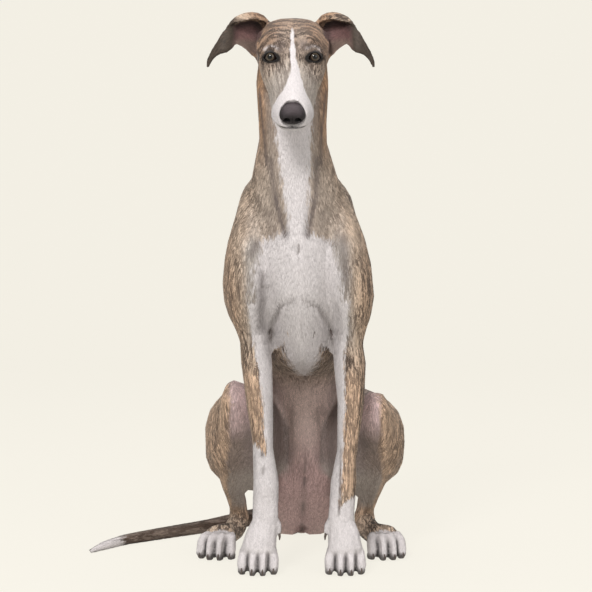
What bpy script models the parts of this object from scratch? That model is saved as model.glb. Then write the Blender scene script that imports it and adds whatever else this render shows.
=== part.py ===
"""A seated greyhound at life size, modelled whole and parted into its named pieces by thin cuts.

Units are metres, +Z is up, the dog faces -Y, and the floor is z = 0. Left and right are the dog's own,
so its left side is at +X. Each form is shaped about x = 0 and the finished pieces then lean with the
dog's weight, as lean() says. In the head, s is the distance ahead of the eyes along the muzzle and
h is the height above the line through them.
"""

import math

import bpy
import numpy as np

GAP = 0.0003
SIDES = {"left": 1.0, "right": -1.0}

# How far the dog's middle stands to the side at each height: its weight rests on its left side.
LEAN_HEIGHTS = (0.0, 0.03, 0.15, 0.20, 0.28, 0.36, 0.475, 0.60, 0.72, 0.95)
LEAN_SHIFTS = (0.006, 0.0063, 0.0115, 0.0125, 0.0125, 0.0077, 0.0, -0.0030, -0.0085, -0.0085)

# The trunk, from the poll down to the seat: front line (y, z), back line (y, z), half width,
# place of the greatest width from front to back, and fullness of the section (2 is an ellipse).
TRUNK = (
    (0.024, 0.800, 0.070, 0.888, 0.0545, 0.50, 2.2),
    (0.006, 0.765, 0.094, 0.848, 0.0590, 0.50, 2.2),
    (0.001, 0.725, 0.112, 0.797, 0.0570, 0.50, 2.3),
    (0.001, 0.685, 0.132, 0.745, 0.0585, 0.50, 2.3),
    (-0.001, 0.645, 0.160, 0.698, 0.0695, 0.52, 2.2),
    (-0.006, 0.600, 0.189, 0.657, 0.0780, 0.55, 2.1),
    (-0.012, 0.550, 0.218, 0.612, 0.0820, 0.55, 2.1),
    (-0.010, 0.500, 0.253, 0.563, 0.0870, 0.55, 2.0),
    (0.004, 0.445, 0.293, 0.514, 0.0915, 0.58, 2.0),
    (0.034, 0.392, 0.334, 0.464, 0.0915, 0.60, 1.95),
    (0.084, 0.340, 0.371, 0.414, 0.0880, 0.58, 1.95),
    (0.158, 0.318, 0.402, 0.366, 0.0790, 0.56, 2.0),
    (0.230, 0.300, 0.427, 0.316, 0.0700, 0.55, 2.0),
    (0.266, 0.250, 0.446, 0.262, 0.0660, 0.55, 2.0),
    (0.276, 0.190, 0.458, 0.206, 0.0680, 0.55, 2.1),
    (0.284, 0.130, 0.466, 0.145, 0.0730, 0.50, 2.3),
    (0.297, 0.090, 0.470, 0.085, 0.0740, 0.50, 2.4),
    (0.330, 0.054, 0.467, 0.030, 0.0660, 0.50, 2.4),
    (0.388, -0.006, 0.450, -0.015, 0.0420, 0.50, 2.2),
)

# A limb's stations are its middle x, y and z, then its half width and half depth.
SHOULDER = (
    (0.042, 0.136, 0.655, 0.019, 0.026),
    (0.0580, 0.130, 0.618, 0.0325, 0.052),
    (0.0650, 0.110, 0.570, 0.0385, 0.074),
    (0.0745, 0.094, 0.525, 0.0435, 0.086),
    (0.0825, 0.090, 0.480, 0.0425, 0.084),
    (0.0850, 0.094, 0.440, 0.0385, 0.073),
    (0.0810, 0.097, 0.405, 0.0290, 0.057),
    (0.0780, 0.095, 0.375, 0.0240, 0.046),
)
FOREARM = (
    (0.0780, 0.095, 0.375, 0.0240, 0.046),
    (0.0775, 0.088, 0.350, 0.0265, 0.040),
    (0.0770, 0.080, 0.320, 0.0255, 0.034),
    (0.0755, 0.073, 0.280, 0.0225, 0.029),
    (0.0722, 0.066, 0.235, 0.0190, 0.0235),
    (0.0690, 0.060, 0.195, 0.0178, 0.0205),
    (0.0655, 0.055, 0.165, 0.0200, 0.0215),
    (0.0640, 0.051, 0.142, 0.0215, 0.0225),
)
PASTERN = (
    (0.0640, 0.051, 0.142, 0.0215, 0.0225),
    (0.0635, 0.047, 0.115, 0.0212, 0.0190),
    (0.0630, 0.042, 0.085, 0.0218, 0.0180),
    (0.0685, 0.036, 0.060, 0.0262, 0.0200),
    (0.0715, 0.032, 0.040, 0.0290, 0.0220),
)
THIGH = (
    (0.044, 0.402, 0.165, 0.0400, 0.078),
    (0.076, 0.352, 0.180, 0.0560, 0.098),
    (0.103, 0.288, 0.190, 0.0640, 0.088),
    (0.119, 0.228, 0.207, 0.0550, 0.070),
    (0.119, 0.178, 0.243, 0.0330, 0.048),
    (0.117, 0.150, 0.268, 0.0235, 0.033),
)
SHANK = (
    (0.117, 0.148, 0.264, 0.0260, 0.035),
    (0.121, 0.176, 0.218, 0.0300, 0.038),
    (0.125, 0.214, 0.168, 0.0280, 0.034),
    (0.1235, 0.258, 0.122, 0.0195, 0.0235),
    (0.1190, 0.298, 0.088, 0.0160, 0.0185),
    (0.1135, 0.334, 0.060, 0.0165, 0.0230),
)
METATARSUS = (
    (0.111, 0.366, 0.046, 0.0110, 0.0150),
    (0.112, 0.346, 0.040, 0.0175, 0.0250),
    (0.116, 0.312, 0.029, 0.0175, 0.0215),
    (0.124, 0.270, 0.026, 0.0172, 0.0185),
    (0.133, 0.230, 0.028, 0.0205, 0.0195),
    (0.1415, 0.196, 0.031, 0.0270, 0.0210),
)
THIGH_OUTLINE = (
    (0.080, 0.330),
    (0.200, 0.350),
    (0.300, 0.348),
    (0.365, 0.325),
    (0.408, 0.280),
    (0.426, 0.220),
    (0.420, 0.150),
    (0.398, 0.085),
    (0.360, 0.020),
    (0.300, -0.030),
    (0.080, -0.030),
)
THIGH_INNER = 0.046
ARM_MARGIN = (0.012, -0.012, 0.0, 0.012, 0.022)
LEG_FOLD = ((0.205, 0.196), (0.262, 0.152), (0.315, 0.108), (0.362, 0.085))
KNEE_LIFT = {"left": -0.008, "right": 0.010}
KNEE_HEIGHT = 0.268
HOCK_HEIGHT = 0.060

# Where the solids part. A cut is a point (y, z) and the direction (y, z) of the part beyond it.
HEAD_CUT = ((0.040, 0.825), (-0.80, 0.60))
NECK_CUT = ((0.075, 0.640), (-0.30, 0.95))
CHEST_CUT = ((0.230, 0.350), (-0.42, 0.90))
BELLY_CUT = ((0.350, 0.240), (-0.20, 0.98))
CUT_REACH = 0.6
WRIST_HEIGHT = 0.142
WRIST_BOX = ((0.02, -0.05, -0.1), (0.16, 0.12))

# Each foot: middle of its toes' front (x, y), outward turn in degrees, and how far the toes reach.
FRONT_FOOT = (0.0726, 0.000, 2.0, 0.046)
HIND_FOOT = (0.1495, 0.135, 11.0, 0.044)
TOE_OFFSETS = ((-0.0256, 0.0115), (-0.0087, 0.0), (0.0087, 0.0), (0.0256, 0.0115))
TOE_RADIUS = 0.0082
CLAW_LENGTH = 0.0125
CLAW_RADIUS = 0.0030
DEWCLAW = (0.0375, 0.046, 0.078)

# The tail on the floor, from its root: x, y, z and radius.
TAIL = (
    (0.000, 0.448, 0.088, 0.0240),
    (-0.012, 0.487, 0.050, 0.0205),
    (-0.042, 0.507, 0.0175, 0.0182),
    (-0.085, 0.490, 0.0145, 0.0168),
    (-0.135, 0.446, 0.0125, 0.0145),
    (-0.200, 0.386, 0.0108, 0.0123),
    (-0.258, 0.341, 0.0098, 0.0112),
    (-0.305, 0.297, 0.0090, 0.0103),
    (-0.343, 0.243, 0.0072, 0.0082),
    (-0.3635, 0.209, 0.0040, 0.0042),
)
TAIL_LENGTHS = 4
TAIL_SIDES = 10

# The head about the middle of the eyes: s, top h, bottom h, half width, place of the greatest
# width from top to bottom, and fullness.
EYE_LINE = (-0.030, 0.850)
MUZZLE_PITCH = math.radians(45.0)
HEAD = (
    (-0.110, -0.032, -0.054, 0.0180, 0.50, 2.0),
    (-0.099, -0.014, -0.070, 0.0360, 0.45, 2.1),
    (-0.084, 0.0000, -0.084, 0.0480, 0.42, 2.2),
    (-0.060, 0.0125, -0.090, 0.0550, 0.42, 2.2),
    (-0.034, 0.0205, -0.085, 0.0575, 0.46, 2.2),
    (-0.009, 0.0230, -0.079, 0.0545, 0.52, 2.15),
    (0.014, 0.0205, -0.073, 0.0490, 0.60, 2.05),
    (0.036, 0.0186, -0.066, 0.0425, 0.62, 2.1),
    (0.062, 0.0165, -0.060, 0.0362, 0.60, 2.2),
    (0.088, 0.0140, -0.055, 0.0322, 0.58, 2.3),
    (0.110, 0.0110, -0.0505, 0.0300, 0.56, 2.4),
    (0.126, 0.0065, -0.0455, 0.0268, 0.54, 2.4),
    (0.1365, -0.001, -0.0370, 0.0205, 0.50, 2.3),
    (0.1425, -0.008, -0.0260, 0.0110, 0.50, 2.0),
)
NOSE = (
    (0.1160, 0.0080, -0.0030, 0.0100, 0.50, 2.2),
    (0.1230, 0.0098, -0.0115, 0.0163, 0.48, 2.3),
    (0.1300, 0.0088, -0.0175, 0.0194, 0.45, 2.4),
    (0.1370, 0.0055, -0.0212, 0.0196, 0.42, 2.4),
    (0.1425, 0.0015, -0.0220, 0.0160, 0.42, 2.3),
    (0.1455, -0.0040, -0.0165, 0.0085, 0.45, 2.1),
)
NOSTRIL = (0.0080, 0.1470, -0.0035)
MOUTH_LINE = (
    (0.160, -0.0325),
    (0.138, -0.0325),
    (0.118, -0.0345),
    (0.090, -0.0385),
    (0.062, -0.0450),
    (0.040, -0.0520),
)
CHEEK_ARCH = (
    (0.0410, 0.006, -0.0135),
    (0.0500, -0.018, -0.0150),
    (0.0535, -0.040, -0.0165),
    (0.0500, -0.066, -0.0180),
)
ARCH_RADIUS = 0.0065
EYE_CENTRE = (0.0343, 0.0033, -0.0042)
EYE_RADIUS = 0.0112
LID_THICKNESS = 0.0018
EYE_OPENING = (0.0118, 0.0071)
GAZE = (0.17, -0.985, 0.0)

# Each ear, along its length from the root: crest (x, y, z), lower rim (x, y, z), how far the leaf
# bows back between them (forward where it is below zero, past the fold), its thickness, and how
# far its upper rim rolls over the crest, forwards and down.
EAR = (
    (0.032, 0.046, 0.898, 0.046, 0.028, 0.846, 0.018, 0.0040, 0.004),
    (0.048, 0.042, 0.914, 0.0585, 0.022, 0.8430, 0.024, 0.0036, 0.010),
    (0.066, 0.036, 0.9185, 0.0735, 0.018, 0.8580, 0.024, 0.0032, 0.013),
    (0.084, 0.030, 0.9140, 0.0875, 0.013, 0.8670, 0.015, 0.0030, 0.012),
    (0.098, 0.021, 0.9045, 0.0935, 0.000, 0.8615, 0.001, 0.0030, 0.007),
    (0.110, 0.013, 0.8890, 0.1010, -0.006, 0.8540, -0.007, 0.0030, 0.003),
    (0.1185, 0.007, 0.8730, 0.1120, -0.006, 0.8510, -0.006, 0.0029, 0.002),
    (0.129, 0.002, 0.8550, 0.1195, -0.004, 0.8470, -0.003, 0.0028, 0.001),
    (0.135, 0.000, 0.8390, 0.1270, -0.003, 0.8385, -0.0015, 0.0026, 0.0005),
    (0.1345, -0.001, 0.8290, 0.1320, -0.002, 0.8285, -0.0005, 0.0022, 0.0),
)
EAR_REACH = {"left": 0.965, "right": 1.035}
EAR_ROOT = 0.045
EAR_POINTS = 10
ROLL_SHARE = 0.26
FULL_ROLL = 0.008

# Places where flesh or bone stands out or sinks: x, y, z, spread and height. Both sides have them.
BODY_SWELLS = (
    (0.078, 0.006, 0.545, 0.030, 0.006),
    (0.034, -0.006, 0.485, 0.030, 0.006),
    (0.000, -0.018, 0.520, 0.018, 0.005),
    (0.110, 0.150, 0.490, 0.040, 0.004),
    (0.100, 0.060, 0.440, 0.028, -0.003),
    (0.078, 0.135, 0.372, 0.018, 0.007),
    (0.050, 0.180, 0.590, 0.030, -0.003),
    (0.060, 0.350, 0.400, 0.045, -0.004),
    (0.052, 0.395, 0.300, 0.026, 0.005),
    (0.118, 0.132, 0.285, 0.020, 0.004),
    (0.164, 0.285, 0.142, 0.048, 0.010),
)
HEAD_SWELLS = (
    (0.0300, -0.016, 0.0200, 0.012, 0.0030),
    (0.0500, -0.040, -0.0500, 0.022, 0.0030),
    (0.0330, 0.026, 0.0030, 0.013, -0.0050),
    (0.0480, -0.050, 0.0000, 0.020, -0.0025),
    (0.0000, 0.004, 0.0250, 0.010, -0.0020),
    (0.0300, 0.085, -0.0050, 0.018, -0.0020),
    (0.0270, 0.112, -0.0240, 0.014, 0.0018),
)

# Soft grooves: start, end, spread and height. Both sides have them.
BODY_FURROWS = (
    ((0.022, -0.002, 0.650), (0.030, -0.006, 0.545), 0.011, -0.005),
    ((0.000, 0.000, 0.530), (0.000, 0.050, 0.370), 0.012, -0.0025),
    ((0.098, 0.215, 0.560), (0.100, 0.190, 0.430), 0.018, -0.004),
    ((0.152, 0.190, 0.235), (0.130, 0.300, 0.110), 0.016, -0.004),
)
RIB_COUNT = 7
RIB_START = (0.088, 0.232, 0.520)
RIB_STEP = (0.0, 0.020, -0.026)
RIB_RUN = (-0.004, -0.072, -0.085)
RIB_GROOVE = (0.0065, -0.0022)

BODY_TRIANGLES = 3200
HEAD_TRIANGLES = 2050
FOOT_TRIANGLES = 520

COLOURS = {
    "brindle": (0.36, 0.24, 0.16),
    "white": (0.78, 0.75, 0.72),
    "ear": (0.10, 0.085, 0.07),
    "nose": (0.035, 0.03, 0.032),
    "eye": (0.09, 0.06, 0.03),
    "claw": (0.30, 0.26, 0.22),
    "belly": (0.40, 0.30, 0.27),
}
ROUGHNESS = {"nose": 0.45, "eye": 0.08, "claw": 0.4}


def clear_scene():
    for obj in list(bpy.data.objects):
        bpy.data.objects.remove(obj, do_unlink=True)


def make_materials():
    made = {}
    for name, colour in COLOURS.items():
        material = bpy.data.materials.new(name)
        material.use_nodes = True
        shader = material.node_tree.nodes["Principled BSDF"]
        shader.inputs["Base Color"].default_value = (*colour, 1.0)
        shader.inputs["Roughness"].default_value = ROUGHNESS.get(name, 0.75)
        shader.inputs["Metallic"].default_value = 0.0
        made[name] = material
    return made


def lean(z):
    """The sideways shift of the dog's middle at each height."""
    return np.interp(z, LEAN_HEIGHTS, LEAN_SHIFTS)


def head_to_world(points):
    """Turns (x, s, h) into world (x, y, z)."""
    points = np.asarray(points, float)
    along, above = points[..., 1], points[..., 2]
    cos, sin = math.cos(MUZZLE_PITCH), math.sin(MUZZLE_PITCH)
    y = EYE_LINE[0] - cos * along - sin * above
    z = EYE_LINE[1] - sin * along + cos * above
    return np.stack([points[..., 0], y, z], axis=-1)


def world_to_head(points):
    """Turns world (x, y, z) into (x, s, h)."""
    y = points[..., 1] - EYE_LINE[0]
    z = points[..., 2] - EYE_LINE[1]
    cos, sin = math.cos(MUZZLE_PITCH), math.sin(MUZZLE_PITCH)
    return np.stack([points[..., 0], -cos * y - sin * z, -sin * y + cos * z], axis=-1)


def smooth_rows(rows, per_span):
    """Reads a smooth curve through rows of numbers, per_span steps from each row to the next."""
    rows = np.asarray(rows, float)
    padded = np.vstack([2 * rows[0] - rows[1], rows, 2 * rows[-1] - rows[-2]])
    steps = []
    for i in range(len(rows) - 1):
        a, b, c, d = padded[i : i + 4]
        for t in np.arange(per_span) / per_span:
            bend = (2 * a - 5 * b + 4 * c - d) * t**2 + (3 * b - a - 3 * c + d) * t**3
            steps.append(0.5 * (2 * b + (c - a) * t + bend))
    steps.append(rows[-1])
    return np.array(steps)


def rounded(angle, fullness):
    """Cosine and sine of a superellipse, where a fullness of 2 is a circle."""
    power = 2.0 / fullness
    cos, sin = np.cos(angle), np.sin(angle)
    return np.sign(cos) * np.abs(cos) ** power, np.sign(sin) * np.abs(sin) ** power


def closed_tube(rings):
    """Vertices and faces of a tube through rings of points, closed at both ends and facing out."""
    count, sides = rings.shape[:2]
    points = np.vstack([rings.reshape(-1, 3), rings[0].mean(0), rings[-1].mean(0)])
    first, last = count * sides, count * sides + 1
    faces = []
    for i in range(count - 1):
        for j in range(sides):
            k = (j + 1) % sides
            a, b, c, d = i * sides + j, i * sides + k, (i + 1) * sides + k, (i + 1) * sides + j
            faces += [(a, b, c), (a, c, d)]
    for j in range(sides):
        k = (j + 1) % sides
        faces.append((first, k, j))
        faces.append((last, (count - 1) * sides + j, (count - 1) * sides + k))
    return facing_out(points, faces)


def facing_out(points, faces):
    volume = 0.0
    for face in faces:
        for i in range(1, len(face) - 1):
            volume += np.dot(points[face[0]], np.cross(points[face[i]], points[face[i + 1]]))
    return points, faces if volume > 0 else [face[::-1] for face in faces]


def mirrored(form):
    points, faces = form
    return points * (-1.0, 1.0, 1.0), [face[::-1] for face in faces]


def on_both_sides(form):
    return [form, mirrored(form)]


def trunk_form(rows, per_span=4, sides=40):
    """A body form whose sections run from a front line to a back line in the middle plane."""
    rings = []
    angle = np.linspace(0.0, 2 * math.pi, sides, endpoint=False)
    for front_y, front_z, back_y, back_z, half, widest, fullness in smooth_rows(rows, per_span):
        cos, sin = rounded(angle, fullness)
        share = ((1.0 - cos) / 2.0) ** (math.log(widest) / math.log(0.5))
        y = front_y + (back_y - front_y) * share
        z = front_z + (back_z - front_z) * share
        rings.append(np.stack([half * sin, y, z], axis=1))
    return closed_tube(np.array(rings))


def limb_form(rows, per_span=4, sides=24, grow=0.0, fullness=2.2, round_ends=True):
    """A limb whose sections stand across its path, with rounded ends."""
    rows = smooth_rows(rows, per_span)
    centres = rows[:, :3]
    tangents = np.gradient(centres, axis=0)
    tangents /= np.linalg.norm(tangents, axis=1)[:, None]
    angle = np.linspace(0.0, 2 * math.pi, sides, endpoint=False)
    cos, sin = rounded(angle, fullness)
    rings = []
    for centre, tangent, row in zip(centres, tangents, rows):
        across = np.array([1.0, 0.0, 0.0]) - tangent * tangent[0]
        across /= np.linalg.norm(across)
        deep = np.cross(tangent, across)
        half, depth = row[3] + grow, row[-1] + grow
        rings.append(centre + half * np.outer(cos, across) + depth * np.outer(sin, deep))
    if round_ends:
        rings = end_cap(rings, tangents[0], 0)[::-1] + rings + end_cap(rings, tangents[-1], -1)
    return closed_tube(np.array(rings))


def end_cap(rings, tangent, which):
    """Shrinking rings that round an end off, from the tube outwards."""
    ring = rings[which]
    centre = ring.mean(0)
    reach = np.linalg.norm(ring - centre, axis=1).min() * (1.0 if which else -1.0)
    turns = np.radians((30.0, 55.0, 75.0))
    return [centre + (ring - centre) * math.cos(a) + tangent * reach * math.sin(a) for a in turns]


def ball_form(centre, radii, rings=14, sides=20):
    centre, radii = np.asarray(centre, float), np.asarray(radii, float)
    around = np.linspace(0.0, 2 * math.pi, sides, endpoint=False)
    rows = []
    for polar in np.linspace(0.0, math.pi, rings + 2)[1:-1]:
        flat = np.stack([np.cos(around), np.sin(around), np.zeros(sides)], axis=1) * math.sin(polar)
        flat[:, 2] = math.cos(polar)
        rows.append(centre + flat * radii)
    return closed_tube(np.array(rows))


def prism_form(outline, low, high, place):
    """A flat outline of pairs carried from low to high; place makes each (x, a, b) a world point."""
    outline = np.asarray(outline, float)
    rings = []
    for x in (low, high):
        rings.append(place(np.column_stack([np.full(len(outline), x), outline])))
    return closed_tube(np.array(rings))


def box_form(low, high):
    (x0, y0, z0), (x1, y1, z1) = low, high
    outline = ((y0, z0), (y1, z0), (y1, z1), (y0, z1))
    return prism_form(outline, x0, x1, lambda points: points)


def link_mesh(name, points, faces):
    mesh = bpy.data.meshes.new(name)
    mesh.from_pydata([tuple(p) for p in points], [], faces)
    mesh.update()
    obj = bpy.data.objects.new(name, mesh)
    bpy.context.scene.collection.objects.link(obj)
    return obj


def leaning(form):
    """The form, shifted sideways as the dog leans."""
    points, faces = form
    moved = points.copy()
    moved[:, 0] += lean(points[:, 2])
    return moved, faces


def lean_over(obj):
    """Leans a finished source, before anything is cut from it."""
    points, _ = places_and_normals(obj)
    points[:, 0] += lean(points[:, 2])
    set_places(obj, points)


def piece_of(name, form):
    return link_mesh(name, *leaning(form))


def helper(name, form):
    """A cutter or a guide: it isn't a part, so it is hidden from renders."""
    obj = link_mesh(name, *leaning(form))
    obj.hide_render = True
    obj.display_type = "WIRE"
    return obj


def settle(obj):
    """Replaces the object's mesh by what its modifiers make of it."""
    graph = bpy.context.evaluated_depsgraph_get()
    mesh = bpy.data.meshes.new_from_object(obj.evaluated_get(graph))
    obj.modifiers.clear()
    old = obj.data
    obj.data = mesh
    bpy.data.meshes.remove(old)


def fused(name, forms, voxel):
    """One closed surface round overlapping forms."""
    points, faces, start = [], [], 0
    for form_points, form_faces in forms:
        points.append(form_points)
        faces.extend(tuple(start + i for i in face) for face in form_faces)
        start += len(form_points)
    obj = link_mesh(name, np.vstack(points), faces)
    remesh = obj.modifiers.new("Fuse", "REMESH")
    remesh.mode = "VOXEL"
    remesh.voxel_size = voxel
    settle(obj)
    return obj


def places_and_normals(obj):
    count = len(obj.data.vertices)
    points = np.empty(count * 3)
    obj.data.vertices.foreach_get("co", points)
    normals = np.empty(count * 3, np.float32)
    obj.data.vertex_normals.foreach_get("vector", normals)
    return points.reshape(-1, 3), normals.reshape(-1, 3).astype(float)


def set_places(obj, points):
    obj.data.vertices.foreach_set("co", np.ascontiguousarray(points, np.float64).reshape(-1))
    obj.data.update()


def relax(obj, rounds, strength=0.5):
    """Evens the surface out: each round pulls every point to its neighbours' mean, then pushes
    it back a little further, so that thin limbs keep their girth."""
    points, _ = places_and_normals(obj)
    ends = np.empty(len(obj.data.edges) * 2, np.int32)
    obj.data.edges.foreach_get("vertices", ends)
    one, two = ends.reshape(-1, 2).T
    count = np.bincount(ends, minlength=len(points))[:, None]
    for turn in range(2 * rounds):
        total = np.empty_like(points)
        for axis in range(3):
            total[:, axis] = np.bincount(one, points[two, axis], len(points))
            total[:, axis] += np.bincount(two, points[one, axis], len(points))
        step = -(strength + 0.03) if turn % 2 else strength
        points += step * (total / count - points)
    set_places(obj, points)


def swell(obj, places, frame=None):
    """Moves the surface out or in along its normals round each place, on both sides."""
    points, normals = places_and_normals(obj)
    local = points if frame is None else frame(points)
    local = np.abs(local * (1.0, 0.0, 0.0)) + local * (0.0, 1.0, 1.0)
    move = np.zeros(len(points))
    for x, y, z, spread, height in places:
        away = np.linalg.norm(local - (x, y, z), axis=1) / spread
        move += height * np.exp(-1.5 * away**2)
    set_places(obj, points + normals * move[:, None])


def furrow(obj, start, end, spread, height):
    """A soft groove, or a ridge where height is above zero, along a line on both sides."""
    points, normals = places_and_normals(obj)
    local = np.abs(points * (1.0, 0.0, 0.0)) + points * (0.0, 1.0, 1.0)
    start, end = np.asarray(start), np.asarray(end)
    line = end - start
    share = np.clip((local - start) @ line / (line @ line), 0.0, 1.0)
    away = np.linalg.norm(local - start - share[:, None] * line, axis=1) / spread
    fade = np.sin(np.clip(0.12 + 0.88 * share, 0.0, 1.0) * math.pi) ** 0.5
    move = height * np.exp(-1.5 * away**2) * fade
    set_places(obj, points + normals * move[:, None])


def thin(obj, triangles):
    obj.data.calc_loop_triangles()
    ratio = triangles / len(obj.data.loop_triangles)
    decimate = obj.modifiers.new("Thin", "DECIMATE")
    decimate.ratio = min(1.0, ratio)
    decimate.use_collapse_triangulate = True
    settle(obj)


def grown(obj, amount):
    """A copy of the object, larger by amount all over."""
    copy = obj.copy()
    copy.data = obj.data.copy()
    copy.hide_render = True
    copy.display_type = "WIRE"
    bpy.context.scene.collection.objects.link(copy)
    points, normals = places_and_normals(copy)
    set_places(copy, points + normals * amount)
    return copy


def cut(obj, other, operation="DIFFERENCE", remove=True):
    boolean = obj.modifiers.new("Cut", "BOOLEAN")
    boolean.operation = operation
    boolean.solver = "EXACT"
    boolean.object = other
    settle(obj)
    keep_largest(obj)
    if remove:
        bpy.data.objects.remove(other, do_unlink=True)


def keep_largest(obj):
    """Drops every closed surface but the one that holds the most."""
    mesh = obj.data
    count = len(mesh.vertices)
    if not count:
        return
    ends = np.empty(len(mesh.edges) * 2, np.int32)
    mesh.edges.foreach_get("vertices", ends)
    one, two = ends.reshape(-1, 2).T
    label = np.arange(count)
    while True:
        low = np.minimum(label[one], label[two])
        fresh = label.copy()
        np.minimum.at(fresh, one, low)
        np.minimum.at(fresh, two, low)
        fresh = fresh[fresh]
        if np.array_equal(fresh, label):
            break
        label = fresh
    if len(np.unique(label)) == 1:
        return
    points, _ = places_and_normals(obj)
    faces = [tuple(polygon.vertices) for polygon in mesh.polygons]
    sizes = {}
    for face in faces:
        corner = points[face[0]]
        for i in range(1, len(face) - 1):
            share = np.dot(corner, np.cross(points[face[i]], points[face[i + 1]]))
            sizes[label[face[0]]] = sizes.get(label[face[0]], 0.0) + share
    best = max(sizes, key=sizes.get)
    kept = [face for face in faces if label[face[0]] == best]
    used = sorted({i for face in kept for i in face})
    renumber = {old: new for new, old in enumerate(used)}
    fresh_mesh = bpy.data.meshes.new(mesh.name)
    fresh_faces = [tuple(renumber[i] for i in face) for face in kept]
    fresh_mesh.from_pydata([tuple(points[i]) for i in used], [], fresh_faces)
    fresh_mesh.update()
    obj.data = fresh_mesh
    bpy.data.meshes.remove(mesh)


def take(name, source, region_form):
    """Parts a piece from the source: what lies in the region, with a thin gap left round it."""
    region = helper("region", region_form)
    wider = grown(region, GAP)
    piece = source.copy()
    piece.data = source.data.copy()
    piece.name = name
    bpy.context.scene.collection.objects.link(piece)
    cut(piece, region, "INTERSECT")
    cut(source, wider)
    return piece


def above_floor(obj):
    cut(obj, helper("floor_side", box_form((-1.0, -1.0, 0.0), (1.0, 1.0, 2.0))), "INTERSECT")


def slab(point, direction, low, high):
    """A block past a plane across the middle plane: point (y, z), direction (y, z), from low to high."""
    point, direction = np.asarray(point), np.asarray(direction, float)
    direction /= np.linalg.norm(direction)
    side = np.array([-direction[1], direction[0]])
    reach = 0.45
    steps = ((low, -reach), (high, -reach), (high, reach), (low, reach))
    corners = [point + direction * a + side * b for a, b in steps]
    return prism_form(corners, -0.3, 0.3, lambda points: points)


def toe_rows(foot, offset, back):
    """The path of one toe, from its root over the knuckle to the tip, in the foot's own frame."""
    _, _, _, reach = foot
    return (
        (offset * 0.78, reach + back * 0.4, 0.033, TOE_RADIUS, TOE_RADIUS * 1.3),
        (offset * 0.90, reach * 0.58 + back * 0.7, 0.0335, TOE_RADIUS * 1.05, TOE_RADIUS * 1.3),
        (offset, reach * 0.29 + back, 0.0255, TOE_RADIUS * 1.04, TOE_RADIUS * 1.2),
        (offset * 1.02, 0.0060 + back, 0.0140, TOE_RADIUS, TOE_RADIUS),
        (offset * 1.02, 0.0015 + back, 0.0090, TOE_RADIUS * 0.8, TOE_RADIUS * 0.66),
    )


def foot_place(foot, form):
    """Turns a form from a foot's own frame, where +y points back to the heel, into place."""
    points, faces = form
    x, y, turn, _ = foot
    angle = math.radians(turn)
    cos, sin = math.cos(angle), math.sin(angle)
    moved = points.copy()
    moved[:, 0] = x + cos * points[:, 0] - sin * points[:, 1]
    moved[:, 1] = y + sin * points[:, 0] + cos * points[:, 1]
    return moved, faces


def toes_and_pads(foot):
    forms = []
    for offset, back in TOE_OFFSETS:
        forms.append(limb_form(toe_rows(foot, offset, back), per_span=3, sides=16))
        forms.append(ball_form((offset, 0.014 + back, 0.0065), (0.0080, 0.014, 0.0095), 8, 12))
    forms.append(ball_form((0.0, foot[3] * 0.92, 0.014), (0.0245, 0.021, 0.0175), 8, 16))
    return [foot_place(foot, form) for form in forms]


def claw_form(foot, offset, back):
    """A short hooked claw that leaves the toe's tip forwards and down."""
    steps = np.linspace(0.0, 1.0, 4)
    rows = []
    for t in steps:
        y = 0.0045 + back - CLAW_LENGTH * t
        z = 0.0135 - 0.0085 * t**1.6
        radius = CLAW_RADIUS * (1.0 - 0.72 * t)
        rows.append((offset * 1.02, y, z, radius * 0.85, radius * 1.2))
    return foot_place(foot, limb_form(rows, per_span=1, sides=6, round_ends=False))


def dewclaw_forms():
    """The small inner toe above each front foot, and its claw."""
    x, y, z = DEWCLAW
    toe_path = (
        (x + 0.010, y, z + 0.012, 0.006, 0.008),
        (x + 0.004, y - 0.002, z, 0.0062, 0.0078),
        (x + 0.002, y - 0.004, z - 0.010, 0.005, 0.006),
    )
    claw_path = (
        (x + 0.002, y - 0.004, z - 0.010, 0.0026, 0.0034),
        (x, y - 0.007, z - 0.018, 0.002, 0.0026),
        (x, y - 0.008, z - 0.024, 0.0008, 0.001),
    )
    toe = limb_form(toe_path, per_span=2, sides=12)
    claw = limb_form(claw_path, per_span=1, sides=6, round_ends=False)
    return toe, claw


def lifted(rows, lift):
    """Raises the knee end of a thigh or shank, fading to nothing at the other end."""
    rows = np.array(rows, float)
    share = np.clip((rows[:, 2] - HOCK_HEIGHT) / (KNEE_HEIGHT - HOCK_HEIGHT), 0.0, 1.0)
    rows[:, 2] += lift * share**2
    return rows


def hind_forms(side):
    """The thigh and the shank of one side."""
    sign, lift = SIDES[side], KNEE_LIFT[side]
    forms = [limb_form(lifted(THIGH, lift), sides=32), limb_form(lifted(SHANK, lift))]
    return [form if sign > 0 else mirrored(form) for form in forms]


def body_source():
    """The trunk with its legs down to the wrists and hocks, as one surface."""
    forms = [trunk_form(TRUNK), head_form(HEAD[:8])]
    forms += on_both_sides(limb_form(SHOULDER, sides=32))
    forms += on_both_sides(limb_form(FOREARM + PASTERN[1:3]))
    forms += on_both_sides(limb_form(METATARSUS[:4]))
    for side in SIDES:
        forms += hind_forms(side)
    body = fused("body", forms, 0.004)
    relax(body, 14)
    swell(body, BODY_SWELLS)
    for start, end, spread, height in BODY_FURROWS:
        furrow(body, start, end, spread, height)
    for i in range(RIB_COUNT):
        top = np.array(RIB_START) + i * np.array(RIB_STEP)
        furrow(body, top, top + RIB_RUN, *RIB_GROOVE)
    relax(body, 3)
    lean_over(body)
    return body


def front_foot_source():
    """Both front feet with the lower ends of their forearms."""
    dew_toe, _ = dewclaw_forms()
    forms = [limb_form(FOREARM[4:] + PASTERN[1:]), dew_toe] + toes_and_pads(FRONT_FOOT)
    foot = fused("front_foot", forms, 0.0021)
    relax(foot, 4)
    return foot


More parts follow.
